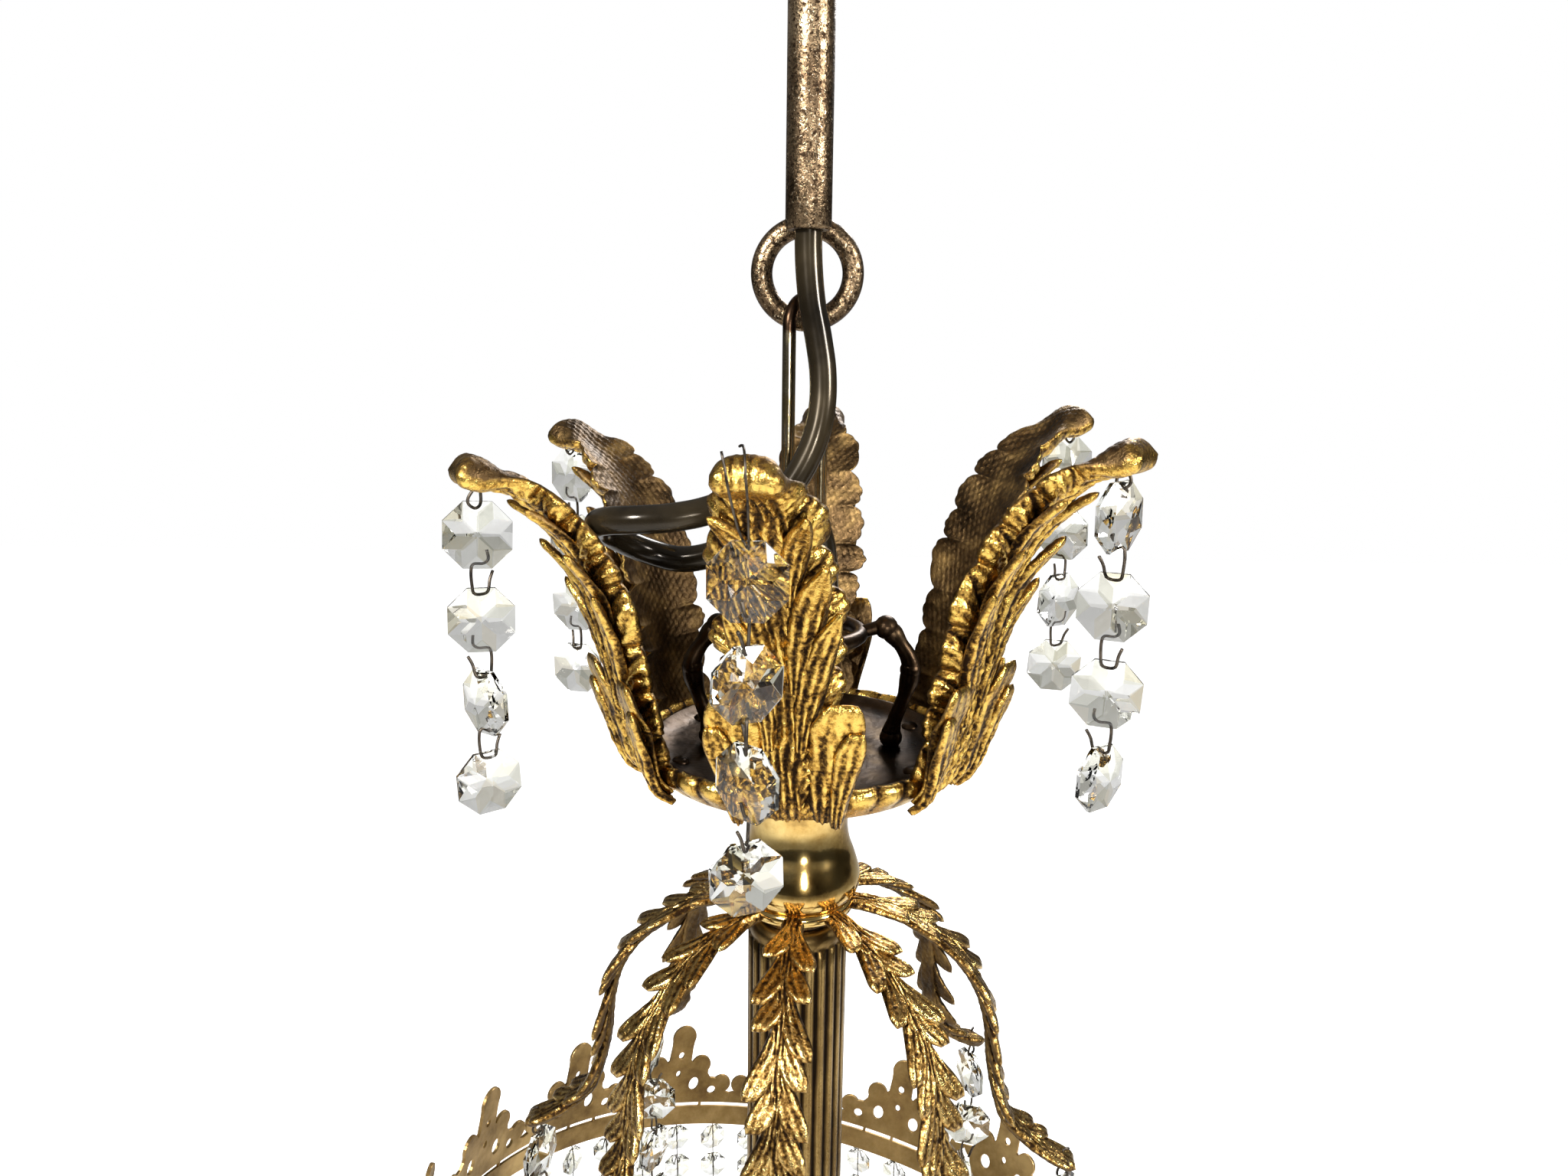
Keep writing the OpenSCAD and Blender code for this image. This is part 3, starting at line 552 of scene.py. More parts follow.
# ---------------------------------------------------------------- cast foliage
def casting(path, halves, side, sag, thick, lobe, core, ribs, rows, cols, seed=0, tip=0.0,
        depth=1.0, fade=(8, 14), notch=0.3, sway=(0, 0)):
    """A cast acanthus leaf: a ribbed middle, and lobes of veins that sweep out and up.

    side is -1 where the carved face lies to the right of the path's travel, and +1 to its left.
    lobe is the lobes' pitch, core the ribbed middle's share of the width, tip the extra
    thickness of the rolled end, fade the plain lengths at the foot and at the tip, notch the
    depth between the lobes, and sway how far the foot and the tip stand to one side.
    """
    line = spline([(*p, h) for p, h in zip(path, halves)], rows, 2)
    r, z, half = line.T
    step = np.r_[0, np.linalg.norm(np.diff(line[:, :2], axis=0), axis=1)]
    along = np.cumsum(step)
    total = along[-1]
    t = unit(np.gradient(np.column_stack([r, z]), axis=0))
    normal = np.column_stack([-t[:, 1], t[:, 0]])
    length = along[:, None]
    u = np.linspace(-1, 1, cols)[None, :]
    sweep = 0.42 * lobe
    middle = core * half[:, None] * (0.62 + 0.5 * length / total)
    foot_fade, tip_fade = fade
    lobed = smooth(length, foot_fade * 0.4, foot_fade)
    lobed = lobed * (1 - smooth(length, total - tip_fade, total - tip_fade * 0.45))

    def phase(x):
        away = np.maximum(np.abs(x) - middle * 0.8, 0)
        shift = 0.13 * np.sign(x) + 0.37 * seed
        wave = 0.2 * lobe * np.sin(length * 0.13 + seed * 2.1)
        wave = wave + 0.1 * lobe * np.sin(length * 0.31 + seed * 4)
        return (length + wave - sweep * (away / 3.0) ** 0.62) / lobe + shift

    outer = phase(half[:, None] * np.sign(u) * np.ones_like(length))
    edge = frac(outer)
    bulge = np.sin(np.pi * edge) ** 0.5
    scallop = np.abs(np.sin(np.pi * 3 * edge))
    grow = 0.06 * np.sin(2.4 * np.floor(outer) + 5.1 * np.sign(u) + 3 * seed)
    reach = half[:, None] * (1 + lobed * (notch * (bulge - 1) + 0.05 * (scallop - 1) + grow * bulge))
    end = np.clip((length - (total - 2.4)) / 2.4, 0, 1)
    reach = reach * (1 - 0.22 * end**2)
    x = u * reach
    q = frac(phase(x))
    beyond = smooth(np.abs(x), middle * 0.85, middle * 1.25) * lobed
    crest = np.sin(np.pi * q) ** 0.55
    vein = 0.5 + 0.5 * np.cos(2 * np.pi * (4 * q + 0.5))
    wander = 0.5 * np.sin(length * 0.13 + seed) + 0.3 * np.sin(length * 0.37 + 2 * seed + 0.8 * x)
    rib = 0.5 + 0.5 * np.cos(np.pi * ribs * (x + wander * lobed) / np.maximum(middle, 1.2))
    rib = rib * (0.72 + 0.28 * np.sin(length * 0.7 + 2.3 * x + seed))
    grain = np.sin(3.1 * x + 0.7 * length + seed) * np.sin(1.9 * length - 0.8 * x + 2 * seed)
    block = tip * smooth(length, total - 13, total - 4) * np.ones_like(u)
    calm = 1 - 0.85 * block / max(tip, 1)
    relief = ((1 - beyond) * (0.45 + 0.55 * rib) + beyond * (0.75 * crest + 0.4 * vein * crest)
        + 0.12 * grain) * depth * calm
    curl = beyond * crest * np.abs(u) ** 3 * 0.9 * depth
    deep = np.sign(sag) * np.minimum(abs(sag), half / 3)[:, None] * u**2 * (2 * calm - 1)
    rim = (1 - 0.75 * np.abs(u) ** 6) * np.sqrt(1 - 0.97 * end**2)
    body = (thick / 2 + block / 2) * rim
    front = deep + side * (body + relief * rim + curl * rim)
    back = deep - side * (body - 0.12 * grain * rim * (1 - end))

    shift = sway[0] + (sway[1] - sway[0]) * (along[:, None] / total) ** 1.7

    def lay(offset):
        flat = np.stack([r[:, None] + normal[:, :1] * offset, x + shift + 0 * offset,
            z[:, None] + normal[:, 1:] * offset], axis=2)
        return flat.reshape(-1, 3)

    n = rows * cols
    faces = []
    for i in range(rows - 1):
        a = i * cols
        for j in range(cols - 1):
            faces.append((a + j, a + j + 1, a + cols + j + 1, a + cols + j))
            faces.append((n + a + j, n + a + cols + j, n + a + cols + j + 1, n + a + j + 1))
        for j in (0, cols - 1):
            f = (a + j, a + cols + j, n + a + cols + j, n + a + j)
            faces.append(f if j == 0 else f[::-1])
    for a in (0, (rows - 1) * cols):
        for j in range(cols - 1):
            f = (a + j, n + a + j, n + a + j + 1, a + j + 1)
            faces.append(f if a == 0 else f[::-1])
    if side < 0:
        faces = [f[::-1] for f in faces]
    # the grooves' darkness for the finish colours: antique patina, deepened with painted shade
    groove = 1 - ((1 - beyond) * (0.3 + 0.7 * rib) + beyond * (0.12 + 0.5 * crest + 0.38 * vein))
    groove = np.clip(groove * (1 - 0.55 * block / max(tip, 1)) + 0.06 * grain, 0, 1)
    none = np.zeros((rows, cols))
    carved = np.stack([groove, none, none], 2).reshape(-1, 3)
    plain_back = np.stack([0.35 + 0.2 * grain, none + 1 - 0.75 * end, none], 2).reshape(-1, 3)
    return (np.vstack([lay(front), lay(back)]), faces), np.vstack([carved, plain_back])


def foliage(name, az, paint, castings, replaces=()):
    """One casting, or several that overlap, as one piece on the chandelier."""
    points, faces = merged([shape for shape, _ in castings])
    finish = np.vstack([colors for _, colors in castings])
    return piece(name, (hung(spun(points, az)), faces), paint, LIGHT, replaces, finish)


def lobe_on(path, low, high, sway, half, rise, curl, seed, fan=False, grid=(64, 29), **how):
    """A flame-shaped lobe on a casting, from share `low` to `high` of the path's length.

    It stands `rise` above the path's carved side, and its end curls off by `curl` more.
    """
    line = spline(path, 240)
    part = line[np.linspace(low * 239, min(high, 1) * 239, 7).astype(int)]
    t = unit(np.gradient(part, axis=0))
    out = how["side"] * np.column_stack([-t[:, 1], t[:, 0]])
    part = part + out * (rise + curl * np.linspace(0, 1, 7) ** 2.4)[:, None]
    halves = half * np.array([0.44, 0.58, 0.74, 0.9, 1.0, 0.98, 0.62] if fan
        else [0.34, 0.7, 0.96, 1.0, 0.9, 0.66, 0.2])
    return casting(part.tolist(), halves.tolist(), sag=-how["side"] * 2.2, thick=1.0, lobe=30,
        core=0.9, ribs=2.5, rows=grid[0], cols=grid[1], seed=seed, tip=0.7, depth=0.85,
        fade=(40, 40), sway=sway, **how)


def crown(gilt):
    for k in range(6):
        lift, bend = LEAF_LIFT[k], LEAF_BEND[k]
        path = [(r, z + lift * (i / 11) ** 2) for i, (r, z) in enumerate(LEAF_PATH)]
        parts = [casting(path=path, halves=LEAF_HALF, side=-1, sag=3, thick=1.7, lobe=10.5,
            core=0.42, ribs=4, rows=240, cols=85, seed=k, tip=4.6, depth=1.5, notch=0.28,
            fade=(8, 15), sway=(0, bend))]
        # broad ribbed leaflets at the foot, then flames one above the other on both sides
        for s in (-1, 1):
            parts.append(lobe_on(path, 0.05, 0.36, (s * 7.6, s * 12), 5.6, 1.5, 1.8, k + s, fan=True,
                side=-1))
            parts.append(lobe_on(path, 0.04, 0.30, (s * 10.4, s * 14.6), 3.0, 2.4, 1.4, k - s, fan=True,
                side=-1))
            parts.append(lobe_on(path, 0.24, 0.58, (s * 3.4, s * 11), 3.4, 1.7, 2.2, k + 2 * s, side=-1))
            parts.append(lobe_on(path, 0.38, 0.70, (s * 3.2 + 0.2 * bend, s * 10.6 + 0.5 * bend),
                3.2 + 0.8 * (s > 0), 1.9, 2.6, k + 3 * s, side=-1))
            parts.append(lobe_on(path, 0.58, 0.84, (s * 3.0 + 0.4 * bend, s * 8.6 + 0.8 * bend),
                2.9, 1.5, 1.6, k + 4 * s, side=-1))
        foliage(f"acanthus_leaf_{k + 1}", LEAF_AZ + 60 * k, gilt, parts,
            [f"crown_leaf_{k + 1}"])


def crown_rim(gilt):
    """The bright scalloped flange that shows under the leaves' feet."""
    profile = [(13.5, -82.7), (30, -80.8), (35.6, -76.2), (37.4, -73.2), (38.8, -73), (39.5, -74.4),
        (39, -76.4), (36.8, -78.6), (30.6, -82.4), (13.5, -84)]
    points, faces = lathe(spline(profile, 40), 216)
    # the ripple is laid on after smoothing, so that it fades in over the rim
    r = np.hypot(points[:, 0], points[:, 1])
    w = np.arctan2(points[:, 1], points[:, 0])
    out = smooth(r, 33, 38)
    grow = 1 + (0.8 * np.abs(np.cos(18 * w)) - 0.5) * out / np.maximum(r, 1)
    points[:, :2] *= grow[:, None]
    # darker between the scallops: antique patina, deepened with painted shade
    groove = np.clip(0.75 - np.abs(np.cos(18 * w)), 0, 1) * out + 0.25 * (1 - out)
    finish = np.column_stack([groove, np.zeros(len(r)), np.zeros(len(r))])
    piece("crown_rim", (hung(points), faces), gilt, LIGHT, ["crown_dish"], finish)


def arms(gold):
    """Each arm: a narrow ribbed spine, and pairs of drop-shaped lobes that overlap down it."""
    path = [(11.5, -116.8)] + ARM_PATH
    for k in range(8):
        parts = [casting(path=path, halves=[2.6] + ARM_HALF, side=1, sag=-0.6, thick=2.0, lobe=40,
            core=0.9, ribs=3, rows=190, cols=33, seed=k * 1.7, tip=1.4, depth=0.9, notch=0.1,
            fade=(6, 10))]
        for i in range(ARM_LOBES):
            low = 0.02 + 0.087 * i
            reach = np.interp(low, *ARM_REACH)
            for s in (-1, 1):
                at = low + 0.012 * s * math.sin(k + i)
                size = 1.0 + 0.12 * math.sin(7 * k + 3 * i + s)
                parts.append(lobe_on(path, at, at + 0.145 * size, (s * 0.6, s * reach * size), 2.9, 0.1,
                    1.9, k + i + s, fan=True, side=1, grid=(34, 21)))
        foliage(f"acanthus_arm_{k + 1}", ARM_AZ + 45 * k, gold, parts, [f"arm_{k + 1}"])


# ---------------------------------------------------------------- cut glass on wire hooks
# Painted facet shades, white to grey-olive: each stands in for the light and shade a cut facet reflects and
# refracts.
PAINTED_FACET_SHADES = [(0.95, 0.95, 0.93)] * 4 + [(0.80, 0.81, 0.76), (0.90, 0.89, 0.85), (0.60, 0.60, 0.50),
    (0.86, 0.79, 0.62), (0.48, 0.47, 0.38)]


def octagon(d, t):
    """A cut octagon standing on edge, its faces along X: a point, eight kites and a bevelled rim."""
    corner, inner, girdle = d / 2 / math.cos(math.pi / 8), 0.60 * d / 2, t * 0.09
    knee = t / 2 - (t / 2 - girdle) * inner * math.cos(math.pi / 8) / corner
    points = []
    for s in (1, -1):
        points.append((s * t / 2, 0, 0))
        for k in range(8):
            a = k * math.pi / 4
            points.append((s * knee, inner * math.sin(a), inner * math.cos(a)))
        for k in range(8):
            a = (k + 0.5) * math.pi / 4
            points.append((s * girdle, corner * math.sin(a), corner * math.cos(a)))
    faces = []
    for s in (0, 17):
        for k in range(8):
            j = (k + 1) % 8
            kite = (s, s + 1 + k, s + 9 + k, s + 1 + j)
            rim = (s + 1 + j, s + 9 + k, s + 9 + j)
            faces += [kite, rim] if s else [kite[::-1], rim[::-1]]
    faces += [(9 + k, 26 + k, 26 + (k + 1) % 8, 9 + (k + 1) % 8) for k in range(8)]
    return np.array(points), faces


def strand_beads(k, drop, face):
    """The octagons of one strand below its leaf's hole, and a painted shade for each facet."""
    parts, painted_facet_shades = [], []
    for i in range(BEADS):
        points, faces = octagon(BEAD_D * (1 - 0.02 * (i % 2)), BEAD_T)
        lean = 0.05 * math.sin(5 * i + k)
        turn = math.radians(face + 40 * math.sin(math.radians(131 * i + 77 * k)))
        turn = Matrix.Rotation(turn, 3, "Z") @ Matrix.Rotation(lean, 3, "X")
        points = points @ np.array(turn).T + [0, 0, -drop - i * BEAD_PITCH]
        parts.append((points, faces))
        painted_facet_shades += [random.choice(PAINTED_FACET_SHADES) for _ in faces]
    return merged(parts), painted_facet_shades


def strand_hooks(k, drop):
    """Bent wires: through the leaf's hole, from octagon to octagon, each with its free ends."""
    hole = BEAD_D / 2 - 1.5
    first = -drop + hole
    if drop > 16:  # the long thin loop over the front leaf's rolled tip
        wires = [[(-1.2, -1.6, 2.6), (0.6, -0.8, 2.9), (3.2, -0.2, 1.6), (4.4, 0.1, -1.6),
            (3.2, 0.3, -6), (1.3, 0.3, first + 1.6), (0.1, 0.1, first), (-0.4, -0.7, first + 1.2),
            (1.6, -1.5, first + 4), (4.0, -2.6, -4.6), (4.5, -3.2, -0.8), (3.8, -3.9, 2.2)]]
    else:
        wires = [[(1.7, 0.9, 0.3), (0.8, 0.4, 0.6), (0, 0, 0), (0, 0, -3.4), (-0.9, 0, -5.6),
            (-0.9, 0, first + 1), (0.2, 0.1, first), (1.5, 0.2, first + 0.9),
            (1.6, 0.3, first + 2.2), (0.5, 0.5, first + 4)]]
    for i in range(BEADS - 1):
        top, low = -drop - i * BEAD_PITCH - hole, -drop - (i + 1) * BEAD_PITCH + hole
        s = 1 if (i + k) % 2 else -1
        wires.append([(-1.7 * s, -0.8, top + 2.6), (-1.9 * s, -0.3, top + 0.6), (-0.9 * s, 0, top - 0.3),
            (1.2 * s, 0.1, top - 0.4), (1.7 * s, 0.1, top - 2.2), (1.6 * s, 0, low + 2.0),
            (1.3 * s, 0, low + 0.3), (0, 0, low - 0.1), (-1.6 * s, -0.2, low + 0.4),
            (-2.2 * s, -0.7, low + 2.8), (-3.0 * s, -1.3, low + 4.6)])
    return merged([tube(spline(w, 44), HOOK_WIRE * (0.7 if drop > 16 and n == 0 else 1), 7)
        for n, w in enumerate(wires)])


def strand(name, k, az, at, drop, face, node, body, paints):
    """One strand of octagons, hanging on its own hinge at the hole near a casting's tip."""
    crystal, wire = paints
    (points, faces), painted_facet_shades = strand_beads(k, drop, face)
    piece(name + "_crystals", (hung(spun(points + at, az)), faces), crystal, body,
        [node], painted_facet_shade=painted_facet_shades, flat=True)
    points, faces = strand_hooks(k, drop)
    piece(name + "_hooks", (hung(spun(points + at, az)), faces), wire, body)


def hole_at(path, inset, bend=0.0):
    """The hinge over a casting's hole, `inset` behind its tip."""
    (r0, z0), (r1, z1) = path[-2:]
    back = inset / (r1 - r0)
    turns = len(path) - 1
    return np.array([r1 - inset, bend * ((turns - back) / turns) ** 2, z1 - back * (z1 - z0) + 2])


def strands(paints):
    for k in range(6):
        path = [(r, z + LEAF_LIFT[k] * (i / 11) ** 2) for i, (r, z) in enumerate(LEAF_PATH)]
        az = LEAF_AZ + 60 * k
        strand(f"crown_string_{k + 1}", k, az, hole_at(path, LEAF_INSET[k], LEAF_BEND[k]), LEAF_DROP[k],
            -az, f"crown_strand_{k + 1}", f"crown_string_{k + 1}", paints)
    for k in range(8):
        strand(f"arm_string_{k + 1}", k + 6, ARM_AZ + 45 * k, hole_at(ARM_PATH, ARM_INSET), ARM_DROP, 0,
            f"arm_strand_{k + 1}", f"arm_string_{k + 1}", paints)


# ---------------------------------------------------------------- turned parts, link and flex
def neck(polished):
    """The bright spool between crown and arms, with a rolled edge at each end."""
    outline = [(13.6, -82.7), (14.3, -83.8), (14.3, -85.4), (13.5, -86.8), (12.8, -89.6), (12.2, -93.5),
        (12.1, -97), (12.7, -100.6), (13.9, -104), (15, -107.6), (15.4, -110.2), (15, -112.6),
        (13.8, -114.4), (12.6, -115)]
    rows = [(STEM_R, -82.7)] + spline(outline, 70).tolist() + [(STEM_R, -115)]
    piece("neck_spool", hung_shape(lathe(rows, 128)), polished, LIGHT, ["neck"])


def column(paint):
    """The reeded column: 24 reeds between two plain collars."""
    rows = [(5.1, -121), (10.6, -121), (11.6, -121.6), (12.3, -122.8), (12.4, -124.4), (11.9, -125.6)]
    rows += [(11.75, -126 - 4.7 * i) for i in range(33)]
    rows += [(12.2, -278), (12.5, -279.4), (12.5, -282.4), (11.8, -284), (5.1, -284)]

    def reeds(w, row):
        inside = 6 <= row <= 37
        return (0.72 * np.abs(np.cos(12 * w)) ** 0.7) if inside else 0 * w

    points, faces = lathe(rows, 240, reeds)
    w = np.arctan2(points[:, 1], points[:, 0])
    inside = (points[:, 2] < -125.9) & (points[:, 2] > -277)
    # darker in the grooves between the reeds: antique patina deepened with painted shade
    groove = np.where(inside, np.clip(0.92 - 1.05 * np.abs(np.cos(12 * w)), 0, 1), 0.2)
    finish = np.column_stack([groove, 0 * groove, 0 * groove])
    piece("reeded_column", (hung(points), faces), paint, LIGHT, ["column"], finish)


def rod_and_ring(antique):
    outer, inner, low = 5.0, 3.6, TIPS + ROD_END
    profile = [(inner, 0), (outer, 0)] + [(outer, low * i / 12) for i in range(1, 12)]
    profile += [(outer, low + 0.7), (outer - 0.25, low + 0.2), (outer - 0.6, low), (inner, low)]
    piece("lighting_tube", closed_lathe(profile), antique, ROOT, ["down_rod"])
    w = np.linspace(0, 2 * math.pi, 96, endpoint=False)
    path = np.column_stack([RING_R * np.cos(w), 0 * w, RING_R * np.sin(w) + RING_Z])
    points, faces = tube(hung(path), RING_WIRE / 2, 28, closed=True)
    piece("tube_ring", (points, faces), antique, ROOT, ["rod_ring"])
    z = TIPS + ROD_END + 1.2
    braze = tube([(0, 2.2, z), (0, HANG_Y - 1.6, z)], [2.2, 1.4], 14)
    piece("ring_braze", braze, antique, ROOT)


def wire_link(paint):
    half = LINK_W / 2
    arc = np.linspace(0, math.pi, 26)
    path = [(half, 0, z) for z in np.linspace(LINK_LOW, LINK_TOP, 26)[1:-1]]
    path = ([(half * math.cos(a), 0, LINK_TOP + half * math.sin(a)) for a in arc]
        + [(-half, 0, z) for z in np.linspace(LINK_TOP, LINK_LOW, 26)[1:-1]]
        + [(-half * math.cos(a), 0, LINK_LOW - half * math.sin(a)) for a in arc]
        + path)
    a = math.radians(LINK_TURN)
    p = np.array(path)
    p = np.column_stack([p[:, 0] * math.cos(a), p[:, 0] * math.sin(a), p[:, 2]])
    points, faces = tube(hung(p), LINK_WIRE / 2, 20, closed=True)
    piece("long_link", (points, faces), paint, LINK, ["wire_link"])


def flex(paint):
    route = np.array(CORD_ROUTE, float) + [0, 0, TIPS]
    line = spline(route, 240)
    o = piece("flex", tube(line, CORD_D / 2 - 0.02, 24), paint, None, ["cord"])
    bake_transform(o)


def hanger(bronze):
    """The dark ring inside the crown with its cross bar, and four arms of balls and knees."""
    w = np.linspace(0, 2 * math.pi, 64, endpoint=False)
    circle = np.column_stack([HANGER_R * np.cos(w), HANGER_R * np.sin(w), 0 * w + BAR_Z])
    parts = [tube(circle, BAR_D / 2, 16, closed=True),
        tube([(0, -HANGER_R, BAR_Z), (0, HANGER_R, BAR_Z)], BAR_D / 2, 16)]
    for s in range(4):
        leg = [(HANGER_R, 0, BAR_Z), (17, 0, BAR_Z + 1), (20, 0, BAR_Z + 1.4), (23.4, 0, -50.4),
            (25.8, 0, -54.4), (26.2, 0, -58), (24.8, 0, -64), (23, 0, -69), (22, 0, -73)]
        swell = np.interp(np.linspace(0, 1, 40), [0, 0.16, 0.24, 0.34, 0.5, 0.6, 0.72, 0.92, 1],
            [1.5, 1.7, 2.6, 1.8, 2.3, 2.5, 1.7, 1.8, 2.4])
        group = merged([tube(spline(leg, 40), swell, 14), ball((20, 0, BAR_Z + 1.4), 2.9),
            ball((26.2, 0, -57), 2.6), ball((22, 0, -74.2), 2.8, 0.95)])
        parts.append(stood(group, 0, 90 + 90 * s))
    piece("crown_cradle", hung_shape(merged(parts)), bronze, LIGHT, ["crown_hanger"])


def dish(bronze):
    """The dish's dark inside: a shallow floor with a rolled edge and a step round the nut."""
    inside = [(STEM_R, -76.6), (12, -76.5), (13, -76.0), (20, -76.3), (30, -76.2), (34, -75.4),
        (35.4, -74), (36.2, -74), (36.4, -74.8), (35, -77.4), (29, -80), (14, -82.4), (STEM_R, -82.4)]
    piece("crown_floor", hung_shape(closed_lathe(inside, 120)), bronze, LIGHT)


def nuts(antique, polished, bronze):
    hexagon = lambda w, row: 0.55 * np.cos(6 * w) * (0 < row < 5)
    top = [(STEM_R, -77), (8.4, -77), (9, -76.4), (9, -73.2), (8.2, -72.2), (STEM_R, -72)]
    piece("stem_nut", hung_shape(lathe(top + [top[0]], 60, hexagon)), antique,
        LIGHT, ["top_nut"])
    hub = [(STEM_R, -115), (13, -115), (14, -115.8), (14, -117.6), (13, -118.5), (STEM_R, -118.5)]
    piece("hub_disc", hung_shape(closed_lathe(hub, 72)), polished, LIGHT, ["arm_hub"])
    low = [(STEM_R, -118.5), (9.6, -118.5), (10.5, -119.2), (10.5, -120.4), (9.8, -121), (STEM_R, -121)]
    piece("hub_collar", hung_shape(closed_lathe(low, 72)), antique, LIGHT, ["hub_nut"])
    screws = []
    for k in range(6):
        head = [(0, 1.8), (1.4, 1.8), (2.1, 1.2), (2.2, 0.4), (1.1, 0), (1.1, -4), (0, -4)]
        screw = lathe([(r, DISH_FLOOR + z) for r, z in head], 20)
        screws.append(stood(screw, SCREW_R, LEAF_AZ + 60 * k))
    piece("leaf_fixings", hung_shape(merged(screws)), bronze, LIGHT, ["leaf_screws"])
    stem = [(3.3, STEM_TOP - 0.4), (3.7, STEM_TOP), (4.7, STEM_TOP), (5, STEM_TOP - 0.5),
        (5, BASKET_END - 12), (3.3, BASKET_END - 12)]
    piece("stem", hung_shape(closed_lathe(stem, 40)), antique, LIGHT, ["stem_tube"])


# ---------------------------------------------------------------- gallery, basket and lamps
def outline_mesh(name, loops, thickness, bevel):
    """A flat plate with holes, in X and Z, from closed outlines, its corners just rounded."""
    curve = bpy.data.curves.new(name, "CURVE")
    curve.dimensions, curve.fill_mode = "2D", "BOTH"
    curve.extrude, curve.bevel_depth, curve.bevel_resolution = thickness / 2 - bevel, bevel, 1
    curve.offset = -bevel
    for loop in loops:
        s = curve.splines.new("POLY")
        s.points.add(len(loop) - 1)
        for point, (x, y) in zip(s.points, loop):
            point.co = (x, y, 0, 1)
        s.use_cyclic_u = True
    o = bpy.data.objects.new(name, curve)
    bpy.context.collection.objects.link(o)
    bpy.context.view_layer.update()
    mesh = bpy.data.meshes.new_from_object(o.evaluated_get(bpy.context.evaluated_depsgraph_get()))
    bpy.data.objects.remove(o)
    return mesh


def circle(cx, cy, r, n=20, start=0.0, sweep=360.0, squeeze=1.0):
    return [(cx + r * squeeze * math.cos(math.radians(start + sweep * i / n)),
        cy + r * math.sin(math.radians(start + sweep * i / n))) for i in range(n + (sweep < 360))]


def palmette_loops():
    """One repeat of the crest: a round-topped finger, two curls, scroll links and its holes."""
    half = math.pi * GALLERY_R / PALMS
    side = [(half, BAND_H + 1.4), (half, BAND_H + 5.2)]
    side += circle(17.2, BAND_H + 8.6, 3.4, 10, -60, 200)
    side += [(12.6, BAND_H + 11.0), (11.4, BAND_H + 12.6)]
    side += circle(8.2, BAND_H + 15.8, 3.6, 12, -30, 190)
    side += [(4.2, BAND_H + 17.6), (4.0, CREST_H - 8)]
    side += circle(0, CREST_H - 4.4, 4.4, 10, -20, 110)
    side = [(min(x, half), y) for x, y in side]
    outer = side + [(-x, y) for x, y in side[::-1] if x > 0.01]
    holes = [circle(s * 6.6, BAND_H + 8.6, 2.5, 16, squeeze=0.72) for s in (-1, 1)]
    holes += [circle(s * 13.8, BAND_H + 6.2, 1.5, 12) for s in (-1, 1)]
    holes += [circle(0, BAND_H + 19.6, 1.3, 14, squeeze=0.8)]
    holes += [circle(0, BAND_H + 12.6, 1.2, 12, squeeze=0.7)]
    return [outer] + holes


def gallery(paint):
    """The pierced gallery: a plain band, and sixteen palmettes on it, curved to the ring."""
    mesh = outline_mesh("palmette", palmette_loops(), 1.1, 0.18)
    points0, faces0 = cut_columns(mesh, 1.7)
    parts = []
    band = [(GALLERY_R - 0.55, 0.3), (GALLERY_R - 0.2, 0), (GALLERY_R + 0.4, 0), (GALLERY_R + 0.7, 0.5),
        (GALLERY_R + 0.45, 1.0), (GALLERY_R + 0.45, BAND_H - 1.0), (GALLERY_R + 0.7, BAND_H - 0.5),
        (GALLERY_R + 0.3, BAND_H), (GALLERY_R - 0.55, BAND_H)]
    parts.append(closed_lathe(band, 192))
    for k in range(PALMS):
        centre = math.radians(1.5 + k * 360 / PALMS - 90)
        angle = points0[:, 0] / GALLERY_R + centre
        radius = GALLERY_R + points0[:, 2]
        curved = np.column_stack([radius * np.cos(angle), radius * np.sin(angle), points0[:, 1]])
        parts.append((curved, faces0))
        for s in (-1, 0, 1):
            x = centre + s * 0.098
            foot = [(GALLERY_R * math.cos(x), GALLERY_R * math.sin(x), BAND_H + h) for h in (-1, 2.4)]
            parts.append(tube(foot, 0.55, 8))
    points, faces = merged(parts)
    piece("pierced_gallery", (hung(leaned(points)), faces), paint, LIGHT,
        ["gallery"], flat=True)


def cut_columns(mesh, step):
    """Cuts a flat plate into narrow upright strips, so that it can be curved."""
    bm = bmesh.new()
    bm.from_mesh(mesh)
    xs = [v.co.x for v in bm.verts]
    x = min(xs) + step
    while x < max(xs) - step / 2:
        bmesh.ops.bisect_plane(bm, geom=bm.verts[:] + bm.edges[:] + bm.faces[:],
            plane_co=(x, 0, 0), plane_no=(1, 0, 0), dist=1e-5)
        x += step
    points = np.array([v.co for v in bm.verts])
    bm.verts.index_update()
    faces = [tuple(v.index for v in f.verts) for f in bm.faces]
    bm.free()
    return points, faces


def spider(antique):
    parts = [lathe([(12.6, -269), (17.4, -269), (18, -268), (18, -262), (17.4, -261), (12.6, -261),
        (12.6, -269)], 64)]
    for k in range(4):
        a = math.radians(6 - 90 + 90 * k)
        end = leaned([((GALLERY_R - 1.2) * math.cos(a), (GALLERY_R - 1.2) * math.sin(a), 2.2)])[0]
        start = np.array([16 * math.cos(a), 16 * math.sin(a), -265])
        parts.append(tube(np.linspace(start, end, 12), np.linspace(2.0, 1.5, 12), 12))
        parts.append(ball(start + (end - start) * 0.96, 2.2))
    piece("gallery_spokes", hung_shape(merged(parts)), antique, LIGHT, ["gallery_spider"])


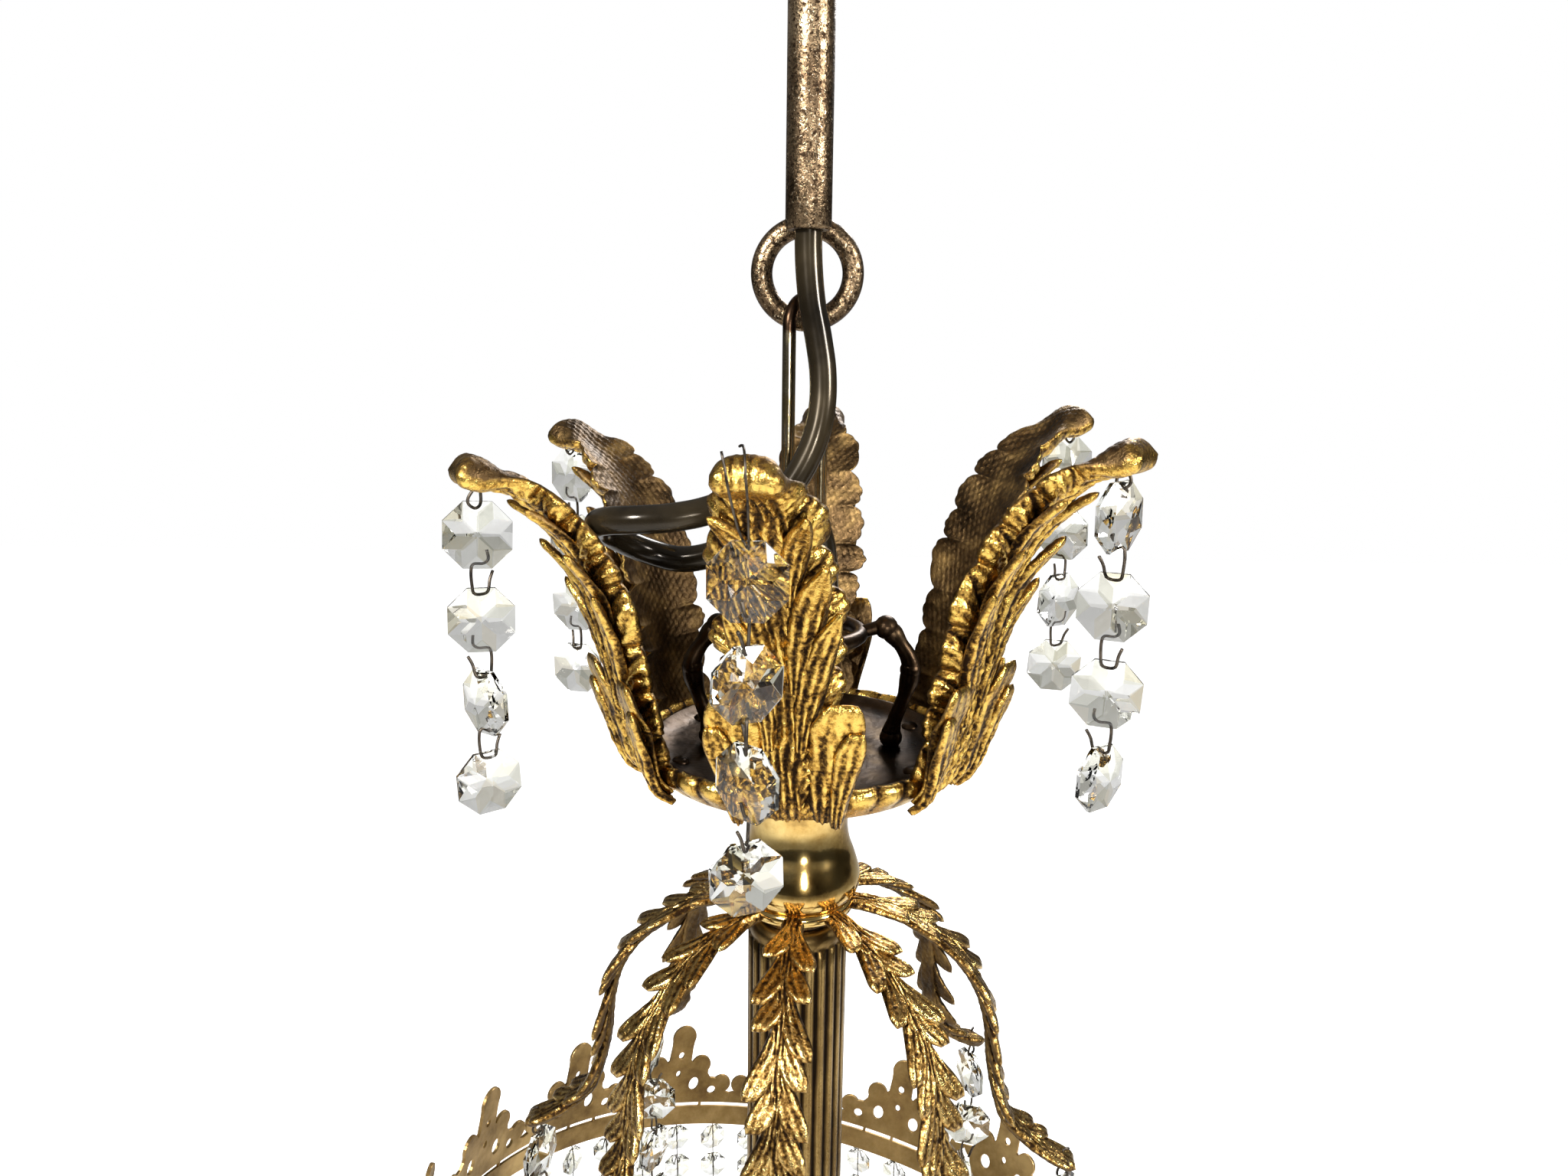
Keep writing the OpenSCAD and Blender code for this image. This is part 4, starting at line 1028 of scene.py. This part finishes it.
def basket(crystal, wire):
    """48 strands of small octagons from the gallery's band, in to the bottom plate."""
    beads, painted_facet_shades, wires = [], [], []
    for s in range(48):
        a = math.radians(s * 7.5 - 90)
        line = spline(BASKET_PATH, 19)
        top = leaned([((GALLERY_R - 0.2) * math.cos(a), (GALLERY_R - 0.2) * math.sin(a), 0.6)])[0]
        places = []
        for i, (r, z) in enumerate(line):
            f = i / 18
            base = np.array([r * math.cos(a), r * math.sin(a), z])
            gap = top - np.array([GALLERY_R * math.cos(a), GALLERY_R * math.sin(a), GALLERY_Z])
            places.append(base + gap * (1 - f))
        places = np.array(places)
        for i in range(1, 19):
            at = (places[i] + places[i - 1]) / 2
            run = places[i - 1] - places[i]
            size = SMALL_D * (1.0 if i < 13 else 1 - 0.07 * (i - 12))
            points, faces = octagon(size, size * 0.36)
            up = Vector(run).normalized()
            out = Vector((math.cos(a), math.sin(a), 0))
            out = (out - up * out.dot(up)).normalized()
            turn = Matrix.Rotation(math.radians(random.uniform(-28, 28)), 3, up)
            out = turn @ out
            turned = np.array([out, up.cross(out), up])
            beads.append((points @ turned + at, faces))
            # each facet painted lighter or darker, a painted shade for what it reflects and refracts
            painted_facet_shades += [random.choice(PAINTED_FACET_SHADES) for _ in faces]
        wires.append(tube(places, 0.2, 5))
    piece("basket_crystals", hung_shape(merged(beads)), crystal, LIGHT, ["bead_basket"],
        painted_facet_shade=painted_facet_shades, flat=True)
    piece("basket_wires", hung_shape(merged(wires)), wire, LIGHT)


def plate_and_finial(gilt, polished):
    low = BASKET_END
    plate = [(STEM_R, low - 3), (24, low - 3), (27, low - 2.4), (30, low - 2), (30.4, low - 3),
        (30, low - 4.2), (27, low - 5.4), (22, low - 7), (17, low - 8), (STEM_R, low - 8)]
    points, faces = closed_lathe(plate, 96)
    finish = np.zeros((len(points), 3))
    finish[:, 0] = 0.25 + 0.15 * np.cos(12 * np.arctan2(points[:, 1], points[:, 0]))
    piece("basket_plate", (hung(points), faces), gilt, LIGHT, ["bottom_plate"], finish)
    top = low - 8
    end = [(STEM_R, top), (10.4, top), (11.6, top - 0.8), (11.8, top - 2), (9.6, top - 3.4), (7, top - 5.4),
        (6.2, top - 8), (8.4, top - 10.8), (10, top - 15), (8.6, top - 19), (4.4, top - 22),
        (3.1, top - 24), (4, top - 26.8), (2.6, top - 30), (0.02, top - 31)]
    rows = spline(end, 70)
    piece("acorn_finial", hung_shape(lathe(rows, 64)), polished, LIGHT, ["finial"])


def lamps(antique, cream, glass):
    parts = [closed_lathe([(STEM_R, LAMP_Z + 8), (13, LAMP_Z + 8), (15, LAMP_Z + 6), (15, LAMP_Z - 3),
        (13, LAMP_Z - 5), (STEM_R, LAMP_Z - 5)], 64)]
    for k in range(3):
        az = LAMP_AZ + 120 * k
        spoke = tube([(12, 0, LAMP_Z), (LAMP_R - 6, 0, LAMP_Z), (LAMP_R, 0, LAMP_Z)], 3, 16)
        parts.append(stood(spoke, 0, az))
        cap = [(0.02, 4), (5, 4), (7.4, 2), (8, -1), (8, -5), (0.02, -5)]
        parts.append(stood(lathe([(r, LAMP_Z + z) for r, z in cap], 40), LAMP_R, az))
        top = LAMP_Z - 5
        holder = [(7.5, top - 29), (7.5, top - 36), (12.4, top - 36), (13, top - 35.4), (13, top - 30),
            (12.2, top - 29.4), (12.2, top - 8), (13, top - 7.2), (13, top - 1), (12, top), (0.02, top),
            (0.02, top - 7), (7.5, top - 7), (7.5, top - 29)]
        ribs = lambda w, row: 0.22 * np.cos(24 * w) * (4 < row < 7)
        piece(f"candle_holder_{k + 1}", hung_shape(stood(lathe(holder, 96, ribs), LAMP_R, az)), cream,
            LIGHT, [f"lampholder_{k + 1}"])
        low = top - 36
        bulb = [(0.02, low + 20), (6.6, low + 20), (7.2, low + 18), (7.2, low), (8.4, low - 3),
            (11, low - 7), (14.6, low - 13), (17, low - 20), (17.4, low - 27), (16.6, low - 36),
            (13.4, low - 48), (8, low - 61), (3.4, low - 70), (0.02, low - 74)]
        glass_shape = stood(lathe(spline(bulb, 70), 48), LAMP_R, az)
        piece(f"candle_bulb_{k + 1}", hung_shape(glass_shape), glass, LIGHT,
            [f"bulb_{k + 1}"])
    piece("lamp_arms", hung_shape(merged(parts)), antique, LIGHT, ["lamp_cluster"])


# ---------------------------------------------------------------- ceiling fitting
def ceiling(gilt, polished, steel, white):
    cup = [(5.3, -40), (10.4, -40), (12, -39.6), (13.2, -38.2), (15.4, -37), (18, -36.4), (22, -34.2),
        (26.4, -31), (33, -28), (38.6, -22.6), (42.6, -17.2), (44.4, -12), (45.6, -9.6), (46, -7.6),
        (46, -3.2), (45.4, -2.4), (46, -1.4), (45.8, -0.5), (44.6, -0.5), (44.4, -8), (42.6, -12),
        (40.2, -17), (32, -26.6), (21, -32.6), (14, -35.6), (5.3, -38)]
    points, faces = closed_lathe(cup, 128)
    finish = np.zeros((len(points), 3))
    finish[:, 0] = 0.18
    piece("ceiling_cup", (points, faces), gilt, ROOT, ["canopy"], finish)
    collar = [(5.02, -40), (8.2, -40), (9, -41.2), (9.6, -43), (9.6, -45.8), (8.6, -47.4), (7.6, -48),
        (5.02, -48)]
    piece("cup_collar", closed_lathe(spline(collar, 40), 64), polished, ROOT,
        ["canopy_collar"])
    for node in ("ceiling_bracket", "canopy_screws", "rod_nut", "terminal_block"):
        paint = {"canopy_screws": polished, "terminal_block": white}.get(node, steel)
        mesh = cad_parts[node].data
        mesh.materials.clear()
        mesh.materials.append(paint)


look()
studio()
gilt, gold = gilt_paint(), gilt_paint("gilt_arm", (0.76, 0.53, 0.19), 0.1)
polished, antique = polished_paint(), antique_paint()
crystal, wire, bronze = crystal_paint(), wire_paint(), bronze_paint()
flex(flex_paint())
crown(gilt)
crown_rim(gilt)
arms(gold)
strands((crystal, wire))
neck(polished)
column(reeded_paint())
rod_and_ring(antique)
wire_link(link_paint())
hanger(bronze)
dish(bronze)
nuts(antique, polished, bronze)
gallery(sheet_paint())
spider(antique)
basket(crystal, wire)
plate_and_finial(gilt, polished)
lamps(antique, opaque_paint("cream_thermoset", (0.80, 0.74, 0.60)), lamp_glass_paint())
ceiling(gilt, polished, steel_paint(), opaque_paint("white_nylon", (0.86, 0.86, 0.83)))
